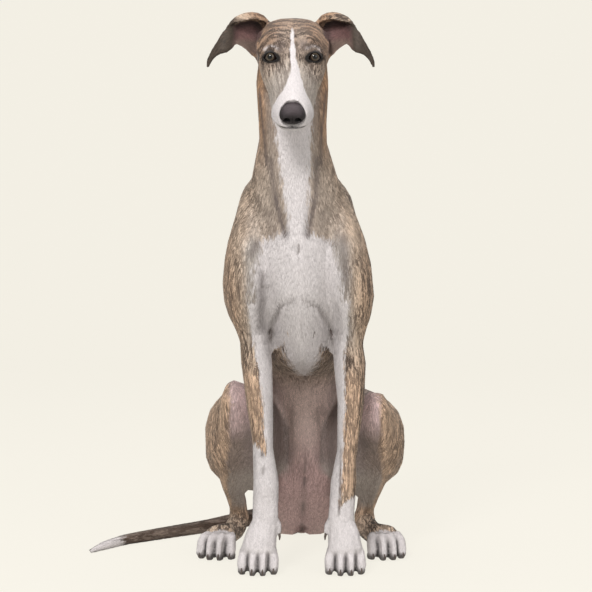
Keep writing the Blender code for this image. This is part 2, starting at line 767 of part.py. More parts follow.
def hind_foot_source():
    forms = [limb_form(METATARSUS), limb_form(SHANK[3:])] + toes_and_pads(HIND_FOOT)
    foot = fused("hind_foot", forms, 0.0021)
    relax(foot, 4)
    return foot


def gaze_frame(sign):
    """The direction an eye looks in and its two cross directions, in world axes."""
    forward = np.array((GAZE[0] * sign, GAZE[1], GAZE[2]))
    forward /= np.linalg.norm(forward)
    level = np.cross(forward, (0.0, 0.0, 1.0))
    level /= np.linalg.norm(level)
    return forward, level, np.cross(level, forward)


def eye_place(sign):
    return head_to_world(np.array(EYE_CENTRE)) * (sign, 1.0, 1.0)


def eye_opening_form(sign):
    """The gap between the lids: an almond carried out along the gaze, lower at its inner corner."""
    forward, level, up = gaze_frame(sign)
    half, high = EYE_OPENING
    around = np.linspace(0.0, 2 * math.pi, 14, endpoint=False)
    wide = half * np.cos(around)
    tall = high * np.sin(around) * (1.0 - 0.35 * np.abs(np.cos(around)) ** 3)
    inner = np.clip(-wide * np.sign(level[0]) * sign, 0.0, None)
    tall = tall - 0.22 * inner
    rings = []
    for reach, spread in ((0.004, 0.90), (0.0125, 1.0), (0.030, 1.25)):
        centre = eye_place(sign) + forward * reach
        rings.append(centre + spread * (np.outer(wide, level) + np.outer(tall, up)))
    return closed_tube(np.array(rings))


def mouth_height(along):
    """Height of the mouth line at each distance along the muzzle."""
    line = np.array(MOUTH_LINE)[::-1]
    return np.interp(along, line[:, 0], line[:, 1])


def shape_lips(head):
    """Rolls the upper lip out over the line of the mouth and sinks the line itself."""
    points, normals = places_and_normals(head)
    local = world_to_head(points)
    along = local[:, 1]
    corner = MOUTH_LINE[-1][0]
    shown = np.clip((along - corner) / 0.012, 0.0, 1.0)
    above = local[:, 2] - mouth_height(along)
    lip = 0.0013 * np.exp(-(((above - 0.0045) / 0.0035) ** 2))
    line = -0.0024 * np.exp(-((above / 0.0020) ** 2))
    lower = 0.0006 * np.exp(-(((above + 0.0045) / 0.003) ** 2))
    set_places(head, points + normals * (shown * (lip + line + lower))[:, None])


def head_form(rows, grow=0.0, sides=44, per_span=4):
    """A form in the head's own frame, whose sections stand across the muzzle."""
    rings = []
    angle = np.linspace(0.0, 2 * math.pi, sides, endpoint=False)
    for along, top, bottom, half, widest, fullness in smooth_rows(rows, per_span):
        cos, sin = rounded(angle, fullness)
        top, bottom = top + grow, bottom - grow
        share = ((1.0 - cos) / 2.0) ** (math.log(widest) / math.log(0.5))
        local = np.stack([(half + grow) * sin, np.full(sides, along), top + (bottom - top) * share], axis=1)
        rings.append(head_to_world(local))
    return closed_tube(np.array(rings))


def head_source():
    forms = [head_form(HEAD), head_form(NOSE), trunk_form(TRUNK[:5])]
    arch_rows = [(*head_to_world(np.array(place)), ARCH_RADIUS, ARCH_RADIUS) for place in CHEEK_ARCH]
    forms += on_both_sides(limb_form(arch_rows, sides=12))
    for sign in SIDES.values():
        forms.append(ball_form(eye_place(sign), (EYE_RADIUS + LID_THICKNESS,) * 3))
    head = fused("head", [facing_out(*form) for form in forms], 0.0016)
    relax(head, 8)
    swell(head, HEAD_SWELLS, world_to_head)
    shape_lips(head)
    relax(head, 1)
    lean_over(head)
    return head


def nostril_cutters():
    """Comma shapes: round holes in the front of the nose, each with a slit out and down its side."""
    forms = []
    x, along, above = NOSTRIL
    for sign in SIDES.values():
        rows = []
        for t in np.linspace(0.0, 1.0, 6):
            local = (sign * (x + 0.0095 * t), along - 0.0065 * t**2, above - 0.0085 * t)
            radius = 0.0042 * (1.0 - 0.70 * t)
            rows.append((*head_to_world(np.array(local)), radius, radius))
        forms.append(limb_form(rows, per_span=1, sides=8))
    return forms


def ear_form(side):
    """A thick curved leaf: rows of points from rim to rim, then the same rows on its other face."""
    reach = EAR_REACH[side]
    rows = smooth_rows(EAR, 2)
    across = np.linspace(0.0, 1.0, EAR_POINTS)
    below = np.clip((across - ROLL_SHARE) / (1.0 - ROLL_SHARE), 0.0, 1.0)
    over = np.clip(1.0 - across / ROLL_SHARE, 0.0, 1.0)
    middle = []
    for row in rows:
        crest, lower, bow, roll = row[0:3], row[3:6], row[6], row[8]
        share = below + (across - below) * max(0.0, 1.0 - roll / FULL_ROLL)
        line = crest + (lower - crest) * share[:, None]
        line[:, 1] += bow * np.sin(share * math.pi) ** 0.8
        line[:, 1] -= 1.10 * roll * np.sin(over * math.pi / 2)
        line[:, 2] += roll * (0.20 * np.sin(over * math.pi) - 0.90 * over**2)
        line[:, 0] = EAR_ROOT + (line[:, 0] - EAR_ROOT) * reach
        middle.append(line)
    middle = np.array(middle)
    normals = np.cross(np.gradient(middle, axis=0), np.gradient(middle, axis=1))
    normals /= np.linalg.norm(normals, axis=2)[:, :, None]
    edge = 0.35 + 0.65 * np.sin(across * math.pi) ** 0.35
    half = rows[:, 7][:, None] * edge[None, :] / 2.0
    front = middle + normals * half[:, :, None]
    back = middle - normals * half[:, :, None]
    rings = np.concatenate([front, back[:, ::-1]], axis=1)
    form = closed_tube(rings)
    return form if SIDES[side] > 0 else mirrored(form)


def tail_forms():
    """The tail's lengths: one tube divided at shared rings, with a thin gap at each division."""
    rows = smooth_rows(TAIL, 4)
    tangents = np.gradient(rows[:, :3], axis=0)
    tangents /= np.linalg.norm(tangents, axis=1)[:, None]
    angle = np.linspace(0.0, 2 * math.pi, TAIL_SIDES, endpoint=False)
    rings = []
    for row, tangent in zip(rows, tangents):
        level = np.cross(tangent, (0.0, 0.0, 1.0))
        level /= np.linalg.norm(level)
        up = np.cross(level, tangent)
        rings.append(row[:3] + row[3] * (np.outer(np.cos(angle), level) + np.outer(np.sin(angle), up)))
    marks = np.linspace(0, len(rows) - 1, TAIL_LENGTHS + 1).astype(int)
    forms = []
    for start, end in zip(marks[:-1], marks[1:]):
        part = rings[start : end + 1]
        part[0] = part[0] + tangents[start] * GAP
        if end == marks[-1]:
            part += end_cap(part, tangents[-1], -1)
        forms.append(closed_tube(np.array(part)))
    return forms


def shank_region(rows):
    """A flat wedge from the knee to the hock: all that lies before and below the fold of the leg."""
    knee = rows[0]
    fold = ((knee[1] + 0.012, knee[2] + 0.006),) + LEG_FOLD
    rest = ((0.400, 0.040), (0.400, -0.050), (0.100, -0.050), (0.090, 0.200), (0.100, knee[2] + 0.004))
    return facing_out(*prism_form(fold + rest, 0.084, 0.260, lambda points: points))


def part_body(body):
    """Parts the legs from the body, then the trunk along its length."""
    pieces = []
    for side, sign in SIDES.items():
        region = limb_form(FOREARM + PASTERN[1:2], per_span=1, sides=12, grow=0.006, round_ends=False)
        region = region if sign > 0 else mirrored(region)
        pieces.append(take("forearm_" + side, body, region))
        region = limb_form(np.array(SHOULDER) + ARM_MARGIN, per_span=1, sides=16)
        region = region if sign > 0 else mirrored(region)
        pieces.append(take("upper_arm_" + side, body, region))
        rows = lifted(SHANK, KNEE_LIFT[side])
        region = shank_region(rows)
        pieces.append(take("shank_" + side, body, region if sign > 0 else mirrored(region)))
        region = facing_out(*prism_form(THIGH_OUTLINE, THIGH_INNER, 0.260, lambda points: points))
        pieces.append(take("thigh_" + side, body, region if sign > 0 else mirrored(region)))
    for name, place in (("neck", NECK_CUT), ("chest", CHEST_CUT), ("belly", BELLY_CUT)):
        pieces.append(take(name, body, slab(*place, 0.0, CUT_REACH)))
    body.name = "rump"
    pieces.append(body)
    return pieces


def wrist_form(sign, above):
    """A block round one front foot, up to its wrist and a little above or below."""
    (inner, front, low), (outer, back) = WRIST_BOX
    left, right = sorted((sign * inner, sign * outer))
    return box_form((left, front, low), (right, back, WRIST_HEIGHT + above))


def nose_region():
    """The nose's own form, wider towards its tip, so that its walls cross the skin cleanly."""
    rows = np.array(NOSE)
    flare = np.array((0.0006, 0.0009, 0.0016, 0.0026, 0.0040, 0.0090))
    rows[:, 1] += flare
    rows[:, 2] -= flare
    rows[:, 3] += flare
    rows[-1, 0] += 0.006
    return head_form(rows, sides=18, per_span=1)


def part_head(head):
    pieces = []
    line = list(MOUTH_LINE) + [(0.034, -0.110), (0.160, -0.110)]
    jaw = take("lower_jaw", head, facing_out(*prism_form(line, -0.08, 0.08, head_to_world)))
    nose = take("nose", head, nose_region())
    for form in nostril_cutters():
        cut(nose, helper("nostril", form))
    for side, sign in SIDES.items():
        cut(head, helper("socket", ball_form(eye_place(sign), (EYE_RADIUS + 2 * GAP,) * 3, 8, 14)))
        cut(head, helper("opening", eye_opening_form(sign)))
        eye = piece_of("eye_" + side, ball_form(eye_place(sign), (EYE_RADIUS,) * 3, 8, 14))
        pieces.append(eye)
    pieces += [jaw, nose, head]
    return pieces


def part_feet(side, body_pieces):
    """The feet of one side, with a seat for each claw, and the claws."""
    sign = SIDES[side]
    pieces = []
    kinds = (("front", FRONT_FOOT, front_foot_source), ("hind", HIND_FOOT, hind_foot_source))
    for kind, foot, source in kinds:
        obj = source()
        if sign < 0:
            flip(obj)
        lean_over(obj)
        thin(obj, FOOT_TRIANGLES)
        above_floor(obj)
        if kind == "front":
            cut(obj, helper("wrist_side", wrist_form(sign, -GAP / 2)), "INTERSECT")
        else:
            cut(obj, grown(body_pieces["shank_" + side], GAP))
        obj.name = kind + "_foot_" + side
        claws = [claw_form(foot, offset, back) for offset, back in TOE_OFFSETS]
        if kind == "front":
            claws.append(dewclaw_forms()[1])
        solid = grown(obj, GAP)
        for number, form in enumerate(claws, 1):
            form = form if sign > 0 else mirrored(form)
            claw = piece_of("claw_" + kind + "_" + side + "_" + str(number), form)
            cut(claw, solid, remove=False)
            pieces.append(claw)
        bpy.data.objects.remove(solid, do_unlink=True)
        pieces.append(obj)
    return pieces


def flip(obj):
    """Mirrors the object's mesh across the middle plane."""
    points, _ = places_and_normals(obj)
    set_places(obj, points * (-1.0, 1.0, 1.0))
    obj.data.flip_normals()


def finish_piece(piece, material, parent):
    """Gives the piece its finish, and sets its origin at the middle of its box."""
    points, _ = places_and_normals(piece)
    middle = (points.min(0) + points.max(0)) / 2.0
    set_places(piece, points - middle)
    piece.location = middle
    piece.parent = parent
    piece.data.materials.clear()
    piece.data.materials.append(material)
    piece.data.shade_smooth()
    piece.data.set_sharp_from_angle(angle=math.radians(50.0))
    return middle + np.array((points - middle).min(0)), middle + np.array((points - middle).max(0))


def finish_of(name):
    """The name of the finish that a piece wears."""
    kind = name.split("_")[0]
    if kind in ("ear", "eye", "claw", "nose"):
        return kind
    if name.startswith("front_foot") or name.startswith("hind_foot") or name in ("lower_jaw", "tail_tip"):
        return "white"
    return "belly" if name == "belly" else "brindle"


def build():
    clear_scene()
    materials = make_materials()
    pieces = []

    body = body_source()
    thin(body, BODY_TRIANGLES)
    above_floor(body)
    cut(body, helper("head_side", slab(*HEAD_CUT, -GAP / 2, CUT_REACH)))
    for sign in SIDES.values():
        cut(body, helper("wrist_side", wrist_form(sign, GAP / 2)))
    body_pieces = part_body(body)
    pieces += body_pieces
    by_name = {piece.name: piece for piece in body_pieces}

    for side in SIDES:
        pieces += part_feet(side, by_name)

    head = head_source()
    thin(head, HEAD_TRIANGLES)
    cut(head, helper("neck_side", slab(*HEAD_CUT, GAP / 2, CUT_REACH)), "INTERSECT")
    head_pieces = part_head(head)
    head.name = "head"
    pieces += head_pieces
    for side in SIDES:
        ear = piece_of("ear_" + side, ear_form(side))
        cut(ear, grown(head, GAP))
        pieces.append(ear)

    names = ("tail_root", "tail_middle", "tail_end", "tail_tip")
    for name, form in zip(names, tail_forms()):
        length = piece_of(name, form)
        above_floor(length)
        if name == "tail_root":
            cut(length, grown(by_name["rump"], GAP))
        pieces.append(length)

    place_all(pieces, materials)


def place_all(pieces, materials):
    """Stands the dog with the bottom middle of its box at the origin."""
    dog = bpy.data.objects.new("greyhound", None)
    bpy.context.scene.collection.objects.link(dog)
    corners = [finish_piece(piece, materials[finish_of(piece.name)], dog) for piece in pieces]
    low = np.min([pair[0] for pair in corners], axis=0)
    high = np.max([pair[1] for pair in corners], axis=0)
    dog.location = (-(low[0] + high[0]) / 2.0, -(low[1] + high[1]) / 2.0, 0.0)


if __name__ == "__main__":
    build()
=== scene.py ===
"""The looks of a seated greyhound: one skin, its short coat in tufts, eyes, lids, nose leather and claws.

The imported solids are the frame. The skin is made from copies of the flesh solids, fused into one
surface, smoothed, carved and sunk by the depth of the coat. The coat is many thin closed tufts that lie
along the flow of the hair. Units are metres. In the dog's own frame the dog faces -Y, +Z is up and x = 0
is its middle plane, with its sideways lean taken out.
"""

import functools
import logging
import math
from dataclasses import dataclass
from enum import Enum
from typing import ClassVar

import bpy
import numpy as np
from bpy.types import ID, Material, Mesh, Node, NodeSocket as Socket, NodeTree as Tree, Object
from bpy.types import bpy_prop_collection as Items
from numpy import ndarray as Array
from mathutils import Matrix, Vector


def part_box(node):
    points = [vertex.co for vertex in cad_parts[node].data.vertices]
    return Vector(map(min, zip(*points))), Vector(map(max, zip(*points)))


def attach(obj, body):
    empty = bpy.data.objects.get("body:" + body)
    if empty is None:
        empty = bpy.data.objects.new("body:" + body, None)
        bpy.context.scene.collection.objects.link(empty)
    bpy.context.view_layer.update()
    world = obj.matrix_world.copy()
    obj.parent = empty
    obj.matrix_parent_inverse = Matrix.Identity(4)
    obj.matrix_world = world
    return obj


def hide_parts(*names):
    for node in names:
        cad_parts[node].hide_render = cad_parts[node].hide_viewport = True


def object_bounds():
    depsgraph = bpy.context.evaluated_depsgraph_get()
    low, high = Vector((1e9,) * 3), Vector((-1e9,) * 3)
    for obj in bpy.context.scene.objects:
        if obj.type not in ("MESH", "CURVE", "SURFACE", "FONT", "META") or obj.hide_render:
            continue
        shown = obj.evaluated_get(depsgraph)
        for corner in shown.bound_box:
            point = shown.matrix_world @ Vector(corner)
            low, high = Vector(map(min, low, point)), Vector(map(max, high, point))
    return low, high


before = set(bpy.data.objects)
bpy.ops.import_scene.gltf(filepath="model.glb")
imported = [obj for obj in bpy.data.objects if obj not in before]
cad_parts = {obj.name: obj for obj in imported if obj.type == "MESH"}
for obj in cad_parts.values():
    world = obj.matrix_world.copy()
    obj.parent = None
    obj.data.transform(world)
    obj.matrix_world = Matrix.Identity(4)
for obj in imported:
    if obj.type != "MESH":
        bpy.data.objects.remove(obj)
CAD_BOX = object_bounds()

LOG = logging.getLogger("greyhound")
BODY = "root"
TAIL = ("tail_1", "tail_2", "tail_3", "tail_4")
KEEN = ("face", "skull", "ear", "ear_tip", "front_foot", "hind_foot")

Point = tuple[float, float, float]
Rows = tuple[tuple[float, float], ...]


def step(value: Array, low: float, high: float) -> Array:
    """A smooth rise from 0 at low to 1 at high, with level ends.

    Args:
        value: Where to read the rise.
        low: Where it starts.
        high: Where it is whole. It may be the smaller of the two.

    Returns:
        The share, from 0 to 1.
    """
    share = np.clip((value - low) / (high - low), 0.0, 1.0)
    return share * share * (3.0 - 2.0 * share)


def bell(value: Array, width: float) -> Array:
    """A bell curve: 1 at zero, and 1/e where the value is the width."""
    return np.exp(-((value / width) ** 2))


def read_off(value: Array, rows: Rows) -> Array:
    """Reads a short list of (place, amount) pairs, straight between them."""
    return np.interp(value, *zip(*rows))


def unit(vectors: Array) -> Array:
    """Scales each vector to a length of one."""
    return vectors / np.maximum(np.linalg.norm(vectors, axis=-1, keepdims=True), 1e-12)


def mirrored(own: Array) -> Array:
    """The points, with those on the -X side taken to the +X side."""
    return np.abs(own * (1, 0, 0)) + own * (0, 1, 1)


def from_line(points: Array, start: Point, end: Point) -> tuple[Array, Array]:
    """Measures points against a straight line.

    Args:
        points: Places, in rows.
        start: One end of the line.
        end: The other end.

    Returns:
        The share of the line's length at its place nearest to each point, and the way from there.
    """
    line = np.array(end) - np.array(start)
    share = np.clip((points - start) @ line / (line @ line), 0.0, 1.0)
    return share, points - start - share[:, None] * line


class Tone(Enum):
    """The colours, red, green and blue from 0 to 255 as seen on a screen."""

    FAWN = (222, 198, 176)
    WARM = (220, 175, 138)
    GREY = (192, 183, 176)
    STRIPE = (84, 69, 60)
    WHITE = (221, 215, 216)
    DUSK = (142, 124, 112)
    SLATE = (134, 121, 117)
    ROSE = (226, 198, 198)
    MAUVE = (182, 147, 147)
    EAR = (74, 64, 55)
    EAR_SKIN = (136, 102, 100)
    BARE = (230, 205, 198)
    # Painted shade in folds and hollows, and the darker grey of the tail.
    SOOT = (98, 87, 84)
    # Black of eye rims, lips and whiskers, and painted shade in the ears' cups and between the toes.
    BLACK = (30, 26, 25)
    IRIS = (48, 41, 34)
    IRIS_SPOKE = (110, 97, 80)
    IRIS_INSIDE = (50, 36, 24)
    EYE_EDGE = (40, 31, 28)
    LEATHER = (26, 22, 24)
    LEATHER_WORN = (42, 36, 38)
    # Painted light: the paler top of the nose, where light falls on it.
    LEATHER_TOP = (92, 81, 85)
    LEATHER_GROOVE = (40, 34, 36)
    HORN = (40, 32, 28)
    HORN_STREAK = (104, 88, 78)
    PAPER = (244, 240, 229)

    def linear(self) -> Array:
        """The colour in linear light, from 0 to 1."""
        seen = np.array(self.value) / 255.0
        return np.where(seen <= 0.04045, seen / 12.92, ((seen + 0.055) / 1.055) ** 2.4)

    def rgba(self) -> tuple[float, ...]:
        """The linear colour with a full alpha, as a shader's socket takes it."""
        return (*self.linear(), 1.0)


@dataclass(frozen=True)
class Stance:
    """Where the dog's own frame stands in the solids' frame, and how its weight leans with height."""

    eye_x: float = 0.0343
    eye_y: float = -0.02936
    eye_z: float = 0.8447
    head_lean: float = -0.0085
    lean: Rows = (
        (0.0, 0.006), (0.03, 0.0063), (0.15, 0.0115), (0.20, 0.0125), (0.28, 0.0125), (0.36, 0.0077),
        (0.475, 0.0), (0.60, -0.0030), (0.72, -0.0085), (0.95, -0.0085),
    )

    def origin(self) -> Array:
        """Finds the own frame's origin from the box of the left eye's solid.

        Returns:
            A world point on the floor.
        """
        low, high = (np.array(corner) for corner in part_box("eye_left"))
        middle = (low + high) / 2.0
        return np.array((middle[0] - self.eye_x - self.head_lean, middle[1] - self.eye_y, 0.0))

    def to_own(self, points: Array) -> Array:
        """Takes the origin and the lean out of world points.

        Args:
            points: World points, in rows.

        Returns:
            The same points in the dog's own frame.
        """
        own = points - self.origin()
        own[:, 0] -= read_off(own[:, 2], self.lean)
        return own

    def to_world(self, own: Array) -> Array:
        """Puts own points back into the world, leaning.

        Args:
            own: Points of the dog's own frame, in rows.

        Returns:
            World points.
        """
        world = np.array(own, float)
        world[:, 0] += read_off(world[:, 2], self.lean)
        return world + self.origin()


@dataclass(frozen=True)
class HeadFrame:
    """The head's own directions: x across, s ahead of the eyes along the muzzle, h above."""

    y: float = -0.030
    z: float = 0.850
    cos: float = math.cos(math.radians(45.0))
    sin: float = math.sin(math.radians(45.0))

    def to_head(self, own: Array) -> Array:
        """Turns own points into (x, s, h): s = -cos y - sin z and h = -sin y + cos z from the eye line."""
        y, z = own[:, 1] - self.y, own[:, 2] - self.z
        return np.stack([own[:, 0], -self.cos * y - self.sin * z, -self.sin * y + self.cos * z], axis=1)

    def to_own(self, head: Array) -> Array:
        """Turns (x, s, h) back into own points: y = -cos s - sin h and z = -sin s + cos h from the eye line.

        Args:
            head: Points in the head's own directions, in rows.

        Returns:
            The same points in the dog's own frame.
        """
        x, s, h = head.T
        y, z = self.y - self.cos * s - self.sin * h, self.z - self.sin * s + self.cos * h
        return np.stack([x, y, z], axis=1)


STANCE = Stance()
HEAD = HeadFrame()


@dataclass(frozen=True)
class Region:
    """A stretch of the body round one line, with the way its hair and its stripes run."""

    name: str
    start: Point
    end: Point
    girth: float
    flow: Point
    stripe: Point
    paired: bool = True

    def folded(self, own: Array) -> Array:
        """The points on the +X side where the region has a twin on the other."""
        return mirrored(own) if self.paired else own

    def distance(self, own: Array) -> Array:
        """How far points are from the region's line, as a share of its girth: about 1 on its skin."""
        return np.linalg.norm(from_line(self.folded(own), self.start, self.end)[1], axis=1) / self.girth


BACK = (0.0, 0.45, -0.9)
DOWN = (0.0, 0.1, -1.0)
ACROSS_SPINE = (0.0, -0.7, -0.7)
TAIL_WAYS = ((-0.3, 0.6, -0.7), (-0.8, -0.5, 0), (-0.8, -0.6, 0), (-0.6, -0.8, 0))
REGIONS = (
    Region("skull", (0.0, 0.035, 0.885), (0.0, -0.030, 0.850), 0.050, (0, 0.8, 0.6), (0, 0.7, 0.7)),
    Region("face", (0.0, -0.035, 0.840), (0.0, -0.115, 0.760), 0.036, (0, 0.707, 0.707), (0, 0.7, 0.7)),
    Region("ear", (0.055, 0.035, 0.880), (0.095, 0.018, 0.885), 0.024, (1, -0.1, 0.15), (1, 0, 0)),
    Region("ear_tip", (0.095, 0.015, 0.885), (0.134, 0.0, 0.835), 0.018, (0.6, -0.1, -0.8), (0.6, 0, -0.8)),
    Region("neck", (0.0, 0.045, 0.830), (0.0, 0.080, 0.670), 0.054, (0, 0.2, -1), (0, 0.2, -1)),
    Region("chest", (0.0, 0.090, 0.620), (0.0, 0.150, 0.430), 0.088, (0, 0.30, -1), ACROSS_SPINE),
    Region("loin", (0.0, 0.220, 0.400), (0.0, 0.330, 0.270), 0.072, BACK, ACROSS_SPINE),
    Region("rump", (0.0, 0.370, 0.220), (0.0, 0.395, 0.050), 0.068, (0, 0.2, -1), (0, 0.0, -1)),
    Region("shoulder", (0.060, 0.130, 0.600), (0.083, 0.090, 0.420), 0.060, (0.05, 0.02, -1), (0, 0.1, -1)),
    Region("forearm", (0.078, 0.092, 0.360), (0.064, 0.051, 0.142), 0.026, (0, -0.15, -1), (0, -0.2, -1)),
    Region("front_foot", (0.0635, 0.045, 0.120), (0.0726, 0.005, 0.014), 0.023, (0, -0.6, -0.8), DOWN),
    Region("thigh", (0.085, 0.360, 0.185), (0.119, 0.175, 0.245), 0.062, (0.02, -0.45, -0.9), (0, 0.3, -1)),
    Region("shank", (0.120, 0.150, 0.258), (0.1135, 0.334, 0.060), 0.029, (0, 0.7, -0.7), (0, 0.7, -0.7)),
    Region("hind_foot", (0.112, 0.350, 0.040), (0.146, 0.150, 0.018), 0.021, (0.1, -1, -0.15), (0, 1, 0)),
) + tuple(
    Region(name, start, end, girth, way, way, False)
    for name, way, start, end, girth in zip(
        TAIL,
        TAIL_WAYS,
        ((0.0, 0.448, 0.080), (-0.042, 0.507, 0.018), (-0.135, 0.446, 0.013), (-0.258, 0.341, 0.010)),
        ((-0.042, 0.507, 0.018), (-0.135, 0.446, 0.013), (-0.258, 0.341, 0.010), (-0.3635, 0.209, 0.004)),
        (0.020, 0.017, 0.014, 0.011),
    )
)
NAMES = [region.name for region in REGIONS]


@dataclass
class Lay:
    """Which region each point belongs to, and how the hair runs there."""

    own: Array
    fade: float = 2.2

    def __post_init__(self) -> None:
        """Measures every point against every region's line."""
        near = np.stack([region.distance(self.own) for region in REGIONS], axis=1)
        self.label = np.argmin(near, axis=1)
        self.weight = np.exp(-self.fade * near**2) + 1e-9

    def within(self, *names: str) -> Array:
        """The points whose nearest region is one of those named."""
        return np.isin(self.label, [NAMES.index(name) for name in names])

    def share(self, *names: str) -> Array:
        """How much each point belongs to the named regions, from 0 to 1, fading across their edges."""
        return self.weight[:, [NAMES.index(name) for name in names]].sum(1) / self.weight.sum(1)

    def flow(self) -> Array:
        """The hair's direction.

        Returns:
            For each point, the regions' own directions, mixed by how near each region is.
        """
        total = np.zeros_like(self.own)
        for column, region in enumerate(REGIONS):
            ways = np.tile(np.array(region.flow, float), (len(self.own), 1))
            if region.paired:
                ways[:, 0] *= np.sign(self.own[:, 0])
            total += self.weight[:, column, None] * unit(ways)
        return unit(total)

    def stretched(self, way: str, keep: float) -> Array:
        """Own points squeezed along each region's hair or stripes, so that noise there runs that way.

        Args:
            way: The region's field to follow, flow or stripe.
            keep: How much of the length along it is left.

        Returns:
            A place for each point, where p becomes p - (1 - keep) (p . d) d.
        """
        placed = np.empty_like(self.own)
        for column, region in enumerate(REGIONS):
            held = self.label == column
            line = unit(np.array(getattr(region, way), float))
            folded = region.folded(self.own[held])
            placed[held] = folded - (1.0 - keep) * (folded @ line)[:, None] * line
        return placed + 0.31 * np.sign(self.own[:, :1])


@dataclass(frozen=True)
class Foot:
    """Where a foot's toes are: their front (x, y), the outward turn, and the lines between the toes."""

    place: tuple[float, float]
    turn: float
    between: Point = (-0.01715, 0.0, 0.01715)

    def gap(self, folded: Array, reach: Array | float) -> Array:
        """How near each point is to the gaps between the toes, from 0 to 1.

        Args:
            folded: Points on the +X side, in the dog's own frame.
            reach: The half width of a gap, one number or one a point.

        Returns:
            One number a point, highest in the middle of a gap and fading over the knuckles.
        """
        x, y = folded[:, 0] - self.place[0], folded[:, 1] - self.place[1]
        cos, sin = math.cos(self.turn), math.sin(self.turn)
        across, back = cos * x + sin * y, -sin * x + cos * y
        near = np.abs(across[:, None] - np.array(self.between)).min(1)
        return bell(near, reach) * (step(back, 0.042, 0.026) * step(folded[:, 2], 0.043, 0.028))


TOES = {
    "front_foot": Foot((0.0726, 0.000), math.radians(2.0)),
    "hind_foot": Foot((0.1495, 0.135), math.radians(11.0)),
}


def toe_gaps(lay: Lay, folded: Array, reach: Array | float) -> Array:
    """How near each point of a foot is to the gaps between its own toes, and 0 off the feet."""
    gaps = [np.where(lay.within(name), foot.gap(folded, reach), 0.0) for name, foot in TOES.items()]
    return np.maximum.reduce(gaps)


@dataclass(frozen=True)
class ShadeLine:
    """A soft line of painted shade along a fold or crease, on both sides of the coat, or on one."""

    start: Point
    end: Point
    reach: float
    strength: float
    side: float = 0.0

    def at(self, own: Array, folded: Array) -> Array:
        """How strong the line is at each point: a bell curve across it, level along it.

        Args:
            own: Points of the dog's own frame.
            folded: The same points on the +X side.

        Returns:
            One number a point. Depth counts for less than width and height.
        """
        points = folded if self.side == 0.0 else own * (self.side, 1.0, 1.0)
        away = np.linalg.norm(from_line(points, self.start, self.end)[1] * (1.0, 0.12, 1.0), axis=1)
        return self.strength * bell(away, self.reach)


# Lines of painted shade in the creases and folds: throat, armpit arches, keel, belly, groin and legs.
# Each row: start x, y, z, end x, y, z, reach, strength and, for one side alone, its sign.
SHADE_LINES = tuple(
    ShadeLine(row[:3], row[3:6], *row[6:])
    for row in (
        (0.053, 0.022, 0.800, 0.042, 0.012, 0.680, 0.0030, 0.80),
        (0.036, 0.010, 0.690, 0.033, 0.008, 0.632, 0.0055, 0.60),
        (0.033, 0.008, 0.632, 0.017, -0.003, 0.566, 0.0060, 0.80),
        (0.042, 0.008, 0.600, 0.036, 0.004, 0.568, 0.0090, 0.35),
        (0.075, 0.010, 0.560, 0.078, 0.010, 0.490, 0.0085, 0.50, 1.0),
        (0.048, 0.012, 0.556, 0.070, 0.014, 0.548, 0.0050, 0.35, 1.0),
        (0.066, 0.010, 0.552, 0.074, 0.010, 0.535, 0.0065, 0.60, -1.0),
        (0.058, 0.012, 0.500, 0.063, 0.040, 0.410, 0.0085, 0.50, -1.0),
        (0.058, 0.012, 0.450, 0.062, 0.040, 0.400, 0.0065, 0.40, 1.0),
        (0.003, -0.012, 0.549, 0.003, -0.012, 0.538, 0.0022, 0.60, 1.0),
        (0.002, -0.012, 0.530, 0.002, 0.030, 0.400, 0.0015, 0.30, 1.0),
        (0.006, 0.002, 0.461, 0.034, 0.030, 0.444, 0.0022, 0.45),
        (0.034, 0.030, 0.444, 0.050, 0.078, 0.402, 0.0036, 0.80),
        (0.050, 0.078, 0.402, 0.053, 0.130, 0.350, 0.0055, 0.90),
        (0.002, 0.220, 0.310, 0.002, 0.285, 0.130, 0.0030, 0.60, 1.0),
        (0.054, 0.285, 0.290, 0.050, 0.300, 0.090, 0.0080, 0.55),
        (0.034, 0.200, 0.320, 0.014, 0.270, 0.235, 0.0030, 0.25),
        (0.022, 0.275, 0.240, 0.030, 0.288, 0.150, 0.0050, 0.30),
        (0.002, 0.290, 0.118, 0.002, 0.355, 0.024, 0.0042, 0.70, 1.0),
        (0.002, 0.355, 0.024, 0.002, 0.400, 0.004, 0.0060, 0.85, 1.0),
        (0.037, 0.115, 0.352, 0.006, 0.200, 0.310, 0.0022, 0.36),
        (0.044, 0.190, 0.326, 0.010, 0.250, 0.282, 0.0022, 0.30),
        (0.000, 0.080, 0.345, 0.000, 0.200, 0.300, 0.0160, 0.22),
        (0.071, 0.050, 0.203, 0.071, 0.050, 0.199, 0.0035, 0.80, -1.0),
        (0.069, 0.045, 0.178, 0.069, 0.045, 0.171, 0.0026, 0.70, -1.0),
        (0.0585, 0.038, 0.205, 0.0580, 0.028, 0.100, 0.0021, 0.70, 1.0),
        (0.120, 0.165, 0.225, 0.117, 0.270, 0.095, 0.0090, 0.18),
        (0.105, 0.180, 0.200, 0.100, 0.270, 0.110, 0.0080, 0.40, 1.0),
        (0.150, 0.270, 0.090, 0.165, 0.215, 0.170, 0.0035, 0.45, 1.0),
    )
)


